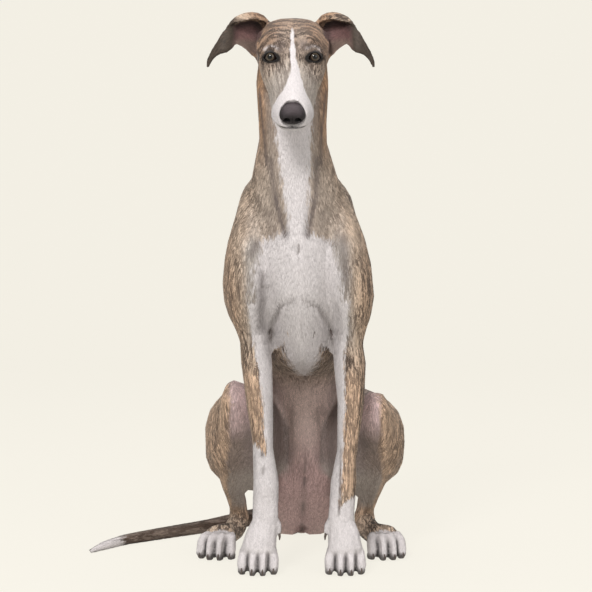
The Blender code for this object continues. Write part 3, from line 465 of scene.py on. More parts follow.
@dataclass
class Markings:
    """The coat's pattern at any points: white, stripes, tint, bare skin and painted shade.

    It is drawn in own x, y and z, in x without its sign (aside), and along and above the head's line.
    The lists give a half width, height or middle line for each place along a marking.
    """

    lay: Lay
    normals: Array
    blaze: Rows = (
        (-0.050, -0.004), (-0.037, 0.0008), (-0.020, 0.0028), (0.014, 0.0038), (0.045, 0.0055),
        (0.068, 0.0088), (0.084, 0.0130), (0.095, 0.0180), (0.106, 0.030), (0.115, 0.060),
    )
    blaze_middle: Rows = (
        (-0.030, -0.0010), (0.030, 0.0005), (0.050, 0.0040), (0.070, 0.0042), (0.100, 0.0030),
    )
    throat: Rows = (
        (0.540, 0.012), (0.565, 0.0135), (0.600, 0.0160), (0.632, 0.0195), (0.672, 0.0245), (0.72, 0.0270),
        (0.80, 0.030),
    )
    bib: Rows = (
        (0.292, -0.004), (0.314, 0.004), (0.337, 0.017), (0.363, 0.027), (0.389, 0.032), (0.405, 0.036),
        (0.424, 0.045), (0.438, 0.058), (0.450, 0.068), (0.500, 0.068), (0.535, 0.060), (0.556, 0.050),
        (0.568, 0.018), (0.590, -0.010),
    )
    bib_slack: Rows = ((0.345, 0.22), (0.390, 0.40), (0.425, 0.45), (0.435, 0.22))
    ear_crest: Rows = (
        (0.032, 0.898), (0.048, 0.914), (0.066, 0.9185), (0.084, 0.914), (0.098, 0.9045), (0.110, 0.889),
        (0.119, 0.873),
    )
    right_strip: Rows = (
        (0.120, 0.060), (0.198, 0.063), (0.218, 0.0665), (0.343, 0.0740), (0.400, 0.0810), (0.450, 0.082),
    )
    left_strip: Rows = (
        (0.120, 0.058), (0.218, 0.0632), (0.343, 0.0668), (0.370, 0.0700), (0.400, 0.077), (0.450, 0.079),
    )
    lip_line: Rows = (
        (0.040, -0.0520), (0.062, -0.0450), (0.090, -0.0385), (0.118, -0.0325), (0.132, -0.0295),
        (0.1425, -0.0262),
    )
    whisker_rows: Point = (-0.0180, -0.0230, -0.0280)
    whisker_places: tuple[float, ...] = (0.084, 0.093, 0.102, 0.111, 0.120)
    inner_brow: Point = (0.019, -0.045, 0.862)
    knee: Point = (0.116, 0.130, 0.275)

    def __post_init__(self) -> None:
        """Keeps the coordinates that the pattern is drawn in."""
        self.own = self.lay.own
        self.x, self.y, self.z = self.own.T
        self.aside = np.abs(self.x)
        self.along, self.above = HEAD.to_head(self.own)[:, 1:].T
        self.outward = self.normals[:, 0] * np.sign(self.x)
        self.folded = mirrored(self.own)
        self.crest = read_off(self.aside, self.ear_crest)

    @classmethod
    def at(cls, points: Array, normals: Array) -> "Markings":
        """The pattern at world points with the skin's directions there."""
        return cls(Lay(STANCE.to_own(points)), normals)

    def white(self) -> Array:
        """How deep each point lies inside the white, in metres, below zero outside it.

        Returns:
            The largest of the depths inside the blaze, muzzle, throat, bib, legs, toes and tail tip.
        """
        x, y, z, lay, along, above = self.x, self.y, self.z, self.lay, self.along, self.above
        aside = np.abs(x - read_off(along, self.blaze_middle))
        blaze = np.minimum(read_off(along, self.blaze) - aside, above + 0.022)
        muzzle = along - 0.104 - 0.45 * (above + 0.015)
        chin = np.minimum(-0.050 - above + 0.10 * (along - 0.05), along - 0.015)
        on_head = lay.within("skull", "face") & (along > -0.055)
        face = np.where(on_head, np.maximum.reduce([blaze, muzzle, chin]), -1.0)
        throat = np.minimum(0.5 * (read_off(z, self.throat) - np.abs(x - 0.0018)), 0.030 - y)
        below = (z > 0.53) & ((z < 0.70) | (above < -0.055))
        throat = np.where(below & lay.within("neck", "chest", "face", "skull", "shoulder"), throat, -1.0)
        edge = read_off(z, self.bib) - self.aside
        soft = np.maximum(edge, read_off(z, self.bib_slack) * edge + 0.0008)
        room = np.where(z > 0.40, 0.046, 0.200) - y
        bib = np.where((z < 0.61) & ~lay.within("forearm"), np.minimum(soft, room), -1.0)
        return np.maximum.reduce([2.2 * face, throat, bib, self.legs(), self.ends()])

    def legs(self) -> Array:
        """The white of the forelegs.

        Returns:
            The depth inside an inner strip and a sock, which is lower on the dog's left leg.
        """
        left = self.x > 0
        edge = np.where(left, read_off(self.z, self.left_strip), read_off(self.z, self.right_strip))
        strip = np.minimum(0.8 * (edge - self.aside), 0.455 - self.z)
        slant = 0.75 * (self.aside - 0.065)
        sock = np.where(left, 0.116 + slant, 0.200 + slant) - self.z
        sock = np.where(self.lay.within("forearm", "front_foot"), sock, -1.0)
        here = self.lay.within("forearm", "front_foot", "shoulder") & (self.y < 0.135)
        return np.where(here, np.maximum(strip, sock), -1.0)

    def ends(self) -> Array:
        """The depth inside the white of the hind toes and of the tail's tip."""
        on_toes, on_tail = self.lay.within("hind_foot"), self.lay.within("tail_3", "tail_4")
        return np.where(on_toes, 0.182 - self.y, np.where(on_tail, 0.30 * (-0.312 - self.x), -1.0))

    def dark(self) -> Array:
        """The black parts, from 0 to 1, with painted shade in the gaps between the toes.

        Returns:
            The largest of the eyes' rims, the lips' line, the whisker spots, the painted shade in the toes'
            gaps, and the toes' ends.
        """
        z, along, lay = self.z, self.along, self.lay
        across = self.aside - STANCE.eye_x
        drop = z - STANCE.eye_z + 0.26 * np.clip(-across, 0.0, None)
        ring = step(np.sqrt((across / 0.0142) ** 2 + (drop / 0.0096) ** 2), 1.22, 0.98)
        ring = np.where((along > -0.03) & (self.y < 0.0), ring, 0.0)
        over = self.above - read_off(along, self.lip_line)
        lips = bell(over, 0.0012 + 0.0010 * step(along, 0.126, 0.136)) * step(along, 0.046, 0.060)
        # Painted shade: black in the gaps between the toes.
        toe_shade = toe_gaps(lay, self.folded, 0.0021 + 0.0030 * step(z, 0.020, 0.002))
        toe_shade *= 0.60 + 0.40 * step(z, 0.040, 0.024)
        tips = 0.60 * step(z, 0.017, 0.005) * lay.share("front_foot", "hind_foot")
        on_face = np.where(lay.within("face"), np.maximum(0.95 * lips, 0.55 * self.whisker_spots()), 0.0)
        return np.maximum.reduce([ring, on_face, toe_shade, tips])

    def whisker_spots(self) -> Array:
        """Small spots in three rows along the upper lip.

        Returns:
            How near each point is to a spot, from 0 to 1.
        """
        rows, places = np.meshgrid(self.whisker_rows, self.whisker_places, indexing="ij")
        places = places + 0.0035 * (rows / self.whisker_rows[0] - 1.0)
        along, above = self.along[:, None] - places.ravel(), self.above[:, None] - rows.ravel()
        return np.exp(-((along**2 + above**2) / 0.0010**2)).max(1)

    def painted_shade(self) -> Array:
        """Painted shade in the folds, creases and hollows and under the feet, over white and brindle alike.

        Returns:
            How strongly the painted shade darkens each point, from 0 to 1.
        """
        shades = [shade_line.at(self.own, self.folded) for shade_line in SHADE_LINES]
        # Painted shade in the gaps between the toes, and darker towards the floor under the feet.
        shades.append(0.50 * toe_gaps(self.lay, self.folded, 0.0034))
        shades.append(0.65 * (step(self.z, 0.016, 0.004) * self.lay.share("front_foot", "hind_foot")))
        return np.clip(np.maximum.reduce(shades), 0.0, 1.0)

    def arm_front(self) -> Array:
        """The greyer, plainer front of the upper arms, from 0 to 1."""
        facing = step(self.y, 0.09, 0.05) * step(self.aside, 0.050, 0.064) * step(self.aside, 0.096, 0.080)
        return facing * step(self.z, 0.36, 0.41) * step(self.z, 0.575, 0.535)

    def ear_inside(self) -> Array:
        """The bare cup of the ear.

        Returns:
            A share from 0 to 1, whole below the ear's rolled rim on its front face.
        """
        cup = step(self.aside, 0.098, 0.088) * step(self.z, self.crest - 0.0095, self.crest - 0.0125)
        low, high = np.where(self.lay.within("skull"), ((0.055,), (0.060,)), ((0.046,), (0.050,)))
        root = step(self.aside, low, high)
        facing = step(np.maximum(-self.normals[:, 1], 0.8 * self.normals[:, 2]), -0.05, 0.25)
        return np.where(self.lay.within("ear", "ear_tip", "skull"), cup * root * facing, 0.0)

    def bare(self) -> Array:
        """Where the hair is thin and the skin shows.

        Returns:
            A share from 0 to 1, for groin, belly and inner thighs.
        """
        under = step(self.y, 0.07, 0.14) * step(self.z, 0.33, 0.27)
        back = step(self.y, 0.415, 0.385) * step(-self.normals[:, 1], -0.55, -0.10)
        within = step(self.aside, 0.115, 0.090) * self.lay.share("loin", "rump", "thigh", "chest")
        return under * back * within

    def inner_leg(self) -> Array:
        """The greyer front and inner faces of the hind legs.

        Returns:
            A share from 0 to 1.
        """
        facing = step(self.outward, 0.62, 0.22) * step(self.normals[:, 1], 0.45, 0.10)
        place = step(self.y, 0.350, 0.310) * step(self.z, 0.055, 0.080)
        return facing * place * step(self.lay.share("thigh", "shank"), 0.25, 0.55)

    def tint(self) -> Array:
        """The coat's colour between its stripes, and the bare parts' colour, with painted shade deep in the
        ears' cups.

        Returns:
            Linear red, green and blue for each point.
        """
        y, z, along, aside, share = self.y, self.z, self.along, self.aside, self.lay.share
        neck, skull, thigh, tail = share("neck"), share("skull"), share("thigh"), share(*TAIL)
        warm = 0.95 * neck * step(aside, 0.036, 0.050)
        warm += 0.85 * skull * step(along, 0.012, -0.010) * step(aside, 0.012, 0.034)
        warm += 0.55 * skull * step(along, -0.020, -0.045)
        warm += 0.45 * share("shoulder", "thigh") * step(aside, 0.090, 0.112)
        warm += 0.45 * share("forearm", "shank")
        grey = 0.85 * share("face") * step(along, -0.01, 0.02)
        grey += 0.7 * neck * step(aside, 0.044, 0.034) * step(y, 0.085, 0.050)
        grey += 0.5 * share("shoulder", "chest") * step(y, 0.08, 0.02) * step(aside, 0.085, 0.070)
        grey += 0.8 * self.arm_front()
        dusk = 0.85 * tail
        dusk += 0.5 * share("chest", "loin") * step(z, 0.43, 0.38) * step(y, 0.01, 0.05)
        dusk += 0.60 * share("skull", "face") * step(along, 0.045, 0.015)
        dusk += 0.75 * (neck * step(aside, 0.050, 0.040) * step(y, 0.06, 0.03))
        dusk += 0.25 * thigh * step(z, 0.18, 0.08)
        bare, leg, cup = self.bare(), self.inner_leg(), self.ear_inside()
        knee = np.linalg.norm(self.folded - self.knee, axis=1)
        eye = np.stack([aside - STANCE.eye_x + 0.001, z - STANCE.eye_z], axis=1)
        brow = bell(np.linalg.norm(eye, axis=1) - 0.0150, 0.0024) * step(eye[:, 1], 0.007, 0.011)
        brow = np.where((along > -0.03) & (y < 0.01), brow, 0.0)
        inner_brow = bell(np.linalg.norm(self.folded - self.inner_brow, axis=1), 0.011)
        outside = share("ear", "ear_tip") * step(aside, 0.044, 0.056)
        on_rim = step(z, self.crest - 0.013, self.crest - 0.008)
        tan_edge = np.maximum(step(self.normals[:, 2], 0.10, 0.60), on_rim) * step(aside, 0.098, 0.084)
        colour = np.tile(Tone.FAWN.linear(), (len(self.own), 1))
        for amount, tone in (
            (warm, Tone.WARM),
            (grey, Tone.GREY),
            (dusk, Tone.DUSK),
            (0.45 * tail, Tone.SOOT),
            (0.95 * bare, Tone.BARE),
            (0.75 * bare * step(z, 0.22, 0.13), Tone.MAUVE),
            (0.85 * leg, Tone.SLATE),
            (0.45 * leg * step(z, 0.165, 0.130), Tone.GREY),
            (0.85 * (leg * step(knee, 0.075, 0.030)), Tone.ROSE),
            (0.85 * brow, Tone.WHITE),
            (0.80 * inner_brow, Tone.SLATE),
            (1.25 * outside * (1.0 - 0.92 * tan_edge), Tone.EAR),
            (0.95 * cup, Tone.EAR_SKIN),
            (0.75 * cup * step(z, 0.880, 0.868), Tone.DUSK),
            # Painted shade: black deep in the ear's cup, under the rolled rim and towards its root.
            (0.80 * cup * step(z, self.crest - 0.026, self.crest - 0.013), Tone.BLACK),
            (0.55 * cup * step(aside, 0.064, 0.054), Tone.BLACK),
        ):
            colour = colour + (tone.linear() - colour) * np.clip(amount, 0.0, 1.0)[:, None]
        return colour

    def stripes(self) -> Array:
        """How strongly the dark stripes show.

        Returns:
            A share, past 1 on the brow.
        """
        y, z, along, share = self.y, self.z, self.along, self.lay.share
        strength = 0.96 - 0.14 * share("thigh") - 0.34 * share("neck")
        strength += 0.35 * share("skull", "face") * step(along, 0.010, -0.008)
        strength -= 0.50 * share("face") * step(along, 0.03, 0.07)
        strength -= 0.50 * share("shoulder", "chest") * step(y, 0.08, 0.02) * step(z, 0.50, 0.56)
        strength -= 0.60 * share("neck") * step(self.aside, 0.046, 0.036) * step(y, 0.06, 0.03)
        strength -= 0.50 * self.arm_front()
        strength -= 0.80 * self.bare()
        strength -= 0.60 * self.inner_leg()
        strength -= 0.30 * share("shank") * step(y, 0.33, 0.29)
        strength -= 0.55 * share("ear", "ear_tip") * step(z, self.crest - 0.008, self.crest - 0.013)
        strength -= self.ear_inside()
        return np.clip(strength, 0.0, 1.3)

    def stripe_places(self) -> Array:
        """Places that the stripes are read at.

        Returns:
            Rings round the eyes on the brow, and places squeezed along the stripes elsewhere.
        """
        lay = self.lay
        placed = lay.stretched("stripe", 0.10)
        limbs = lay.within("forearm", "shoulder", "shank")
        placed[limbs] = 1.25 * lay.stretched("stripe", 0.035)[limbs]
        placed[lay.within("face", "skull")] *= 1.5
        placed[lay.within("neck", "thigh")] *= 1.15
        across, ahead = self.aside - 0.030, self.along - 0.020
        brow = lay.within("skull", "face") & (ahead < 0.0) & (self.y < 0.035)
        turn = np.arctan2(across, -ahead) * 0.008
        rings = np.stack([1.1 * np.hypot(across, ahead), turn, 0.3 + np.sign(self.x) * 0.1], axis=1)
        placed[brow] = rings[brow]
        return placed


def mesh_from(name: str, points: Array, faces: Array) -> Mesh:
    """Makes a smooth mesh from whole arrays, its faces all of one number of corners.

    Args:
        name: The mesh's name.
        points: Places, in rows.
        faces: Point numbers, one row a face.

    Returns:
        The mesh.
    """
    mesh = bpy.data.meshes.new(name)
    mesh.vertices.add(len(points))
    mesh.vertices.foreach_set("co", np.ascontiguousarray(points, np.float32).ravel())
    mesh.loops.add(faces.size)
    mesh.loops.foreach_set("vertex_index", np.ascontiguousarray(faces, np.int32).ravel())
    mesh.polygons.add(len(faces))
    mesh.polygons.foreach_set("loop_start", np.arange(0, faces.size, faces.shape[1], dtype=np.int32))
    mesh.update(calc_edges=True)
    mesh.validate()
    mesh.shade_smooth()
    return mesh


def link(name: str, content: ID) -> Object:
    """Puts a mesh, light or camera into the scene as an object at the origin.

    Args:
        name: The object's name.
        content: What it holds.

    Returns:
        The object.
    """
    thing = bpy.data.objects.new(name, content)
    bpy.context.scene.collection.objects.link(thing)
    return thing


def rows_of(items: Items, name: str, width: int, kind: type) -> Array:
    """Reads one value of every point, edge or triangle of a mesh.

    Args:
        items: The mesh's points, edges or triangles.
        name: The value's name.
        width: How many numbers it has.
        kind: The numbers' type.

    Returns:
        The values, in rows.
    """
    values = np.empty(len(items) * width, kind)
    items.foreach_get(name, values)
    return values.reshape(-1, width)


def points_of(mesh: Mesh) -> Array:
    """The mesh's places, in rows."""
    return rows_of(mesh.vertices, "co", 3, np.float32).astype(float)


def edges_of(mesh: Mesh) -> Array:
    """The mesh's edges, as pairs of point numbers."""
    return rows_of(mesh.edges, "vertices", 2, np.int32)


def triangles_of(mesh: Mesh) -> Array:
    """The mesh's triangles, as rows of point numbers."""
    mesh.calc_loop_triangles()
    return rows_of(mesh.loop_triangles, "vertices", 3, np.int32)


def move_to(mesh: Mesh, points: Array) -> None:
    """Gives the mesh's points new places."""
    mesh.vertices.foreach_set("co", points.astype(np.float32).ravel())
    mesh.update()


def crosses(points: Array, triangles: Array) -> Array:
    """The cross product of two sides of each triangle."""
    corners = points[triangles]
    return np.cross(corners[:, 1] - corners[:, 0], corners[:, 2] - corners[:, 0])


def summed(numbers: Array, rows: Array, count: int) -> Array:
    """Adds up rows of three values by the point number that each row belongs to."""
    return np.stack([np.bincount(numbers, rows[:, axis], count) for axis in range(3)], axis=1)


def normals_of(points: Array, triangles: Array) -> Array:
    """The direction of each point: the sum of its triangles' cross products, at a length of one."""
    return unit(summed(triangles.ravel(), np.repeat(crosses(points, triangles), 3, axis=0), len(points)))


def merged(points: Array, triangles: Array) -> tuple[Array, Array]:
    """Joins points that share a place, rounded to a hundredth of a millimetre.

    Args:
        points: Places, in rows.
        triangles: Rows of point numbers.

    Returns:
        The points that are left, and the triangles that still have three corners.
    """
    first, number = np.unique(np.round(points, 5), axis=0, return_index=True, return_inverse=True)[1:]
    faces = number.reshape(-1)[triangles]
    return points[first], faces[(faces != np.roll(faces, 1, axis=1)).all(1)]


def evened(points: Array, edges: Array, rounds: int, amount: Array | float) -> Array:
    """Smooths a surface: each round moves a point towards its neighbours' mean, then a little back.

    Args:
        points: Places, in rows.
        edges: Pairs of point numbers.
        rounds: How many times.
        amount: The share of the way, one number or one a point.

    Returns:
        The smoothed places.
    """
    one, two = edges.T
    count = np.bincount(edges.ravel(), minlength=len(points))[:, None]
    share = np.asarray(amount).reshape(-1, 1)
    for turn in range(2 * rounds):
        total = summed(one, points[two], len(points)) + summed(two, points[one], len(points))
        way = -(0.53 / 0.50) if turn % 2 else 1.0
        points = points + way * share * (total / count - points)
    return points


def settled(piece: Object) -> None:
    """Replaces a piece's mesh by what its modifiers make of it.

    Args:
        piece: The piece, which loses its modifiers.
    """
    graph = bpy.context.evaluated_depsgraph_get()
    mesh = bpy.data.meshes.new_from_object(piece.evaluated_get(graph))
    piece.modifiers.clear()
    old, piece.data = piece.data, mesh
    bpy.data.meshes.remove(old)


def weighed(piece: Object, shares: Array, levels: int) -> str:
    """Keeps a share for each point in the piece's group of plain points.

    Args:
        piece: The piece.
        shares: A number from 0 to 1 for each point.
        levels: How many steps the shares are rounded to.

    Returns:
        The group's name.
    """
    group = piece.vertex_groups.get("plain") or piece.vertex_groups.new(name="plain")
    numbers = np.round(shares * levels).astype(int)
    for level in range(levels + 1):
        group.add(np.nonzero(numbers == level)[0].tolist(), level / levels, "REPLACE")
    return group.name


def store(mesh: Mesh, name: str, values: Array) -> None:
    """Keeps values at the mesh's points: a number, a vector or a colour each.

    Args:
        mesh: The mesh.
        name: The attribute's name, which materials read.
        values: One row a point, of one, three or four numbers.
    """
    width = 1 if values.ndim == 1 else values.shape[1]
    kind, field = {1: ("FLOAT", "value"), 3: ("FLOAT_VECTOR", "vector"), 4: ("FLOAT_COLOR", "color")}[width]
    layer = mesh.attributes.new(name, kind, "POINT")
    layer.data.foreach_set(field, values.astype(np.float32).ravel())


def dress(mesh: Mesh, marks: Markings, repeat: int = 1) -> None:
    """Stores all that the coat's materials read, at each point or once for each tuft's points.

    Args:
        mesh: The mesh to dress.
        marks: The pattern, at one place for each repeat points.
        repeat: How many points share each place.
    """
    for name, values in (
        ("tint", np.column_stack([marks.tint(), np.ones(len(marks.own))])),
        ("masks", np.stack([marks.white(), marks.stripes(), marks.dark()], axis=1)),
        ("stripe", marks.stripe_places()),
        ("hair", marks.lay.stretched("flow", 0.10)),
        ("painted_shade", marks.painted_shade()),
    ):
        store(mesh, name, np.repeat(values, repeat, axis=0))


@dataclass(frozen=True)
class Swell:
    """A place where flesh or bone stands out, or sinks where the height is below zero."""

    place: Point
    reach: float
    height: float

    def at(self, points: Array) -> Array:
        """The height at each point: a bell curve round the place."""
        away = np.linalg.norm(points - self.place, axis=1) / self.reach
        return self.height * np.exp(-1.5 * away**2)


@dataclass(frozen=True)
class Furrow:
    """A line along which the surface sinks, or rises where the height is above zero."""

    start: Point
    end: Point
    reach: float
    height: float

    def at(self, points: Array) -> Array:
        """The height at each point.

        Args:
            points: Places, in rows.

        Returns:
            A bell curve across the line, times the root of a half wave along it.
        """
        share, way = from_line(points, self.start, self.end)
        away = np.linalg.norm(way, axis=1) / self.reach
        return self.height * np.sin((0.10 + 0.80 * share) * math.pi) ** 0.5 * np.exp(-1.5 * away**2)


# Furrows: start x, y, z, end x, y, z, reach, height. Swells: place x, y, z, reach, height.
BODY_RELIEF = tuple(
    Furrow(row[:3], row[3:6], *row[6:])
    for row in (
        (0.032, 0.000, 0.637, 0.016, -0.006, 0.562, 0.0085, -0.0040),
        (0.044, 0.010, 0.665, 0.030, 0.000, 0.600, 0.0120, 0.0020),
        (0.000, -0.016, 0.545, 0.000, 0.030, 0.370, 0.0060, -0.0022),
        (0.000, 0.060, 0.350, 0.000, 0.200, 0.300, 0.0060, -0.0018),
        (0.050, 0.018, 0.430, 0.052, 0.070, 0.345, 0.0090, -0.0050),
        (0.040, 0.000, 0.460, 0.022, 0.030, 0.380, 0.0120, 0.0020),
        (0.002, 0.288, 0.120, 0.002, 0.358, 0.026, 0.0090, -0.0080),
        (0.002, 0.372, 0.010, 0.002, 0.480, 0.000, 0.0110, -0.0200),
        (0.008, 0.003, 0.460, 0.034, 0.028, 0.440, 0.0060, -0.0026),
        (0.034, 0.028, 0.440, 0.051, 0.080, 0.398, 0.0075, -0.0045),
        (0.010, 0.000, 0.472, 0.044, 0.026, 0.450, 0.0075, 0.0016),
        (0.054, 0.290, 0.290, 0.050, 0.300, 0.090, 0.0100, -0.0040),
        (0.058, 0.030, 0.330, 0.058, 0.040, 0.200, 0.0050, -0.0015),
        (0.096, 0.070, 0.340, 0.084, 0.055, 0.200, 0.0060, -0.0016),
        (0.090, 0.110, 0.340, 0.070, 0.075, 0.180, 0.0050, -0.0018),
        (0.135, 0.155, 0.250, 0.142, 0.225, 0.160, 0.0080, 0.0022),
        (0.140, 0.330, 0.110, 0.128, 0.345, 0.070, 0.0070, -0.0030),
        (0.100, 0.045, 0.560, 0.106, 0.050, 0.430, 0.0120, -0.0022),
        (0.100, 0.125, 0.560, 0.112, 0.120, 0.450, 0.0110, 0.0022),
    )
) + tuple(
    Swell(row[:3], *row[3:])
    for row in (
        (0.000, -0.012, 0.535, 0.0070, -0.0035),
        (0.078, 0.105, 0.650, 0.0300, -0.0030),
        (0.060, 0.075, 0.695, 0.0420, -0.0055),
        (0.064, 0.033, 0.150, 0.0120, 0.0016),
        (0.047, 0.052, 0.150, 0.0080, 0.0012),
        (0.083, 0.052, 0.150, 0.0080, 0.0012),
        (0.120, 0.128, 0.270, 0.0140, 0.0022),
        (0.078, 0.140, 0.372, 0.0140, 0.0050),
    )
)
# In the head's own directions: brow, brow hollow, cheek hollow, whisker pad, furrow of the brow, cheek.
FACE_SWELLS = (
    Swell((0.026, 0.010, 0.0200), 0.010, 0.0020),
    Swell((0.034, 0.004, 0.0100), 0.008, -0.0010),
    Swell((0.022, 0.030, 0.0120), 0.009, -0.0022),
    Swell((0.024, 0.112, -0.0220), 0.014, 0.0012),
    Swell((0.000, 0.000, 0.0230), 0.007, -0.0016),
    Swell((0.040, 0.030, -0.0300), 0.018, 0.0012),
)


def face_height(head: Array, share: Array) -> Array:
    """How far the surface of the face moves out.

    Args:
        head: Places (x, s, h), with x never below zero.
        share: How much each place belongs to the head.

    Returns:
        The move along the normal: a lip line, a cleft under the nose, brows, cheeks and pads.
    """
    across, along, above = head.T
    shown = step(along, 0.040, 0.056) * share
    over = above - read_off(along, Markings.lip_line)
    move = shown * 0.0010 * bell(over - 0.0050, 0.0040)
    move -= shown * 0.0026 * bell(over, 0.0016)
    move -= step(along, 0.128, 0.136) * step(above, -0.036, -0.030) * 0.0016 * bell(across, 0.0012) * share
    for swell in FACE_SWELLS:
        move += swell.at(head) * share
    return move


@dataclass(frozen=True)
class Skin:
    """The one skin: the flesh solids fused, smoothed, carved and sunk by the coat's depth."""

    apart: tuple[str, ...] = ("eye_", "claw_", "nose")
    overlap: float = 0.00035
    voxel: float = 0.0019
    core_voxel: float = 0.0050
    core_rounds: int = 34
    triangles: int = 188000
    coat_depth: float = 0.0012
    face_depth: float = 0.0006
    toe_depth: float = 0.0036
    lowest: float = 0.0002

    def flesh(self) -> list[str]:
        """The names of the solids that the skin stands for."""
        return [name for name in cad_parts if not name.startswith(self.apart)]

    def gathered(self) -> tuple[Array, Array]:
        """Copies the flesh solids, each grown by the overlap so that neighbours join.

        Returns:
            Points and triangles of all of them.
        """
        points, faces, start = [], [], 0
        for name in self.flesh():
            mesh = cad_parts[name].data
            places, triangles = merged(points_of(mesh), triangles_of(mesh))
            points.append(places + self.overlap * normals_of(places, triangles))
            faces.append(triangles + start)
            start += len(places)
        return np.vstack(points), np.vstack(faces)

    def fused(self, name: str, voxel: float) -> Object:
        """Makes one closed surface round all the flesh.

        Args:
            name: Its name.
            voxel: The size of the grid that it is drawn on.

        Returns:
            The surface.
        """
        piece = link(name, mesh_from(name, *self.gathered()))
        remesh = piece.modifiers.new("Fuse", "REMESH")
        remesh.mode = "VOXEL"
        remesh.voxel_size = voxel
        settled(piece)
        return piece

    def build(self) -> Object:
        """Makes the skin.

        Returns:
            The dressed skin, in the place of the flesh solids.
        """
        core = self.fused("core", self.core_voxel)
        move_to(core.data, evened(points_of(core.data), edges_of(core.data), self.core_rounds, 0.5))
        skin = self.fused("skin", self.voxel)
        self.wrap(skin, core)
        bpy.data.objects.remove(core, do_unlink=True)
        mesh = skin.data
        points, edges, triangles = points_of(mesh), edges_of(mesh), triangles_of(mesh)
        keen = Lay(STANCE.to_own(points)).share(*KEEN)
        points = evened(points, edges, 5, 0.5 - 0.12 * keen)
        points = evened(self.carved(points, triangles), edges, 1, 0.4)
        move_to(mesh, points)
        marks = Markings.at(points, normals_of(points, triangles))
        self.thin(skin, 1.0 - np.maximum(keen, step(marks.painted_shade(), 0.04, 0.25)))
        self.finish(skin)
        return skin

    def wrap(self, skin: Object, core: Object) -> None:
        """Lays the trunk and limbs of the fine surface on the smooth core; head, ears and feet stay.

        Args:
            skin: The fine surface.
            core: The smooth surface.
        """
        own = STANCE.to_own(points_of(skin.data))
        plain = step(1.0 - Lay(own).share(*KEEN, "tail_4"), 0.35, 0.85) * step(own[:, 2], 0.004, 0.020)
        group = weighed(skin, plain, 20)
        wrap = skin.modifiers.new("Wrap", "SHRINKWRAP")
        wrap.target = core
        wrap.wrap_method = "NEAREST_SURFACEPOINT"
        wrap.vertex_group = group
        settled(skin)

    def carved(self, points: Array, triangles: Array) -> Array:
        """Moves the surface along its normals by the relief of body, face and toes.

        Args:
            points: World places.
            triangles: Rows of point numbers.

        Returns:
            The carved places.
        """
        own = STANCE.to_own(points)
        lay, folded = Lay(own), mirrored(own)
        move = sum(form.at(folded) for form in BODY_RELIEF)
        move += face_height(HEAD.to_head(folded), lay.share("face", "skull"))
        move -= self.toe_depth * toe_gaps(lay, folded, 0.0026)
        return points + normals_of(points, triangles) * move[:, None]

    def thin(self, skin: Object, plain: Array) -> None:
        """Takes triangles away, most of them where the surface is plain.

        Args:
            skin: The fine surface.
            plain: How plain it is at each point, from 0 to 1.
        """
        group = weighed(skin, plain, 10)
        decimate = skin.modifiers.new("Thin", "DECIMATE")
        decimate.ratio = min(1.0, self.triangles / len(triangles_of(skin.data)))
        decimate.vertex_group = group
        decimate.vertex_group_factor = 1.6
        decimate.use_collapse_triangulate = True
        settled(skin)
        skin.vertex_groups.clear()

    def finish(self, skin: Object) -> None:
        """Sinks the skin by the coat's depth, keeps it above the floor, and dresses it.

        Args:
            skin: The carved and thinned skin.
        """
        mesh = skin.data
        points, triangles = points_of(mesh), triangles_of(mesh)
        normals = normals_of(points, triangles)
        keen = Lay(STANCE.to_own(points)).share(*KEEN)
        depth = self.coat_depth + (self.face_depth - self.coat_depth) * keen
        points = points - normals * depth[:, None]
        points[:, 2] = np.maximum(points[:, 2], self.lowest)
        move_to(mesh, points)
        mesh.shade_smooth()
        dress(mesh, Markings.at(points, normals))
        mesh.materials.clear()
        mesh.materials.append(CoatFinish("skin").material())
        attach(skin, BODY)
        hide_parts(*self.flesh())
        LOG.info("skin: %d triangles", len(triangles))


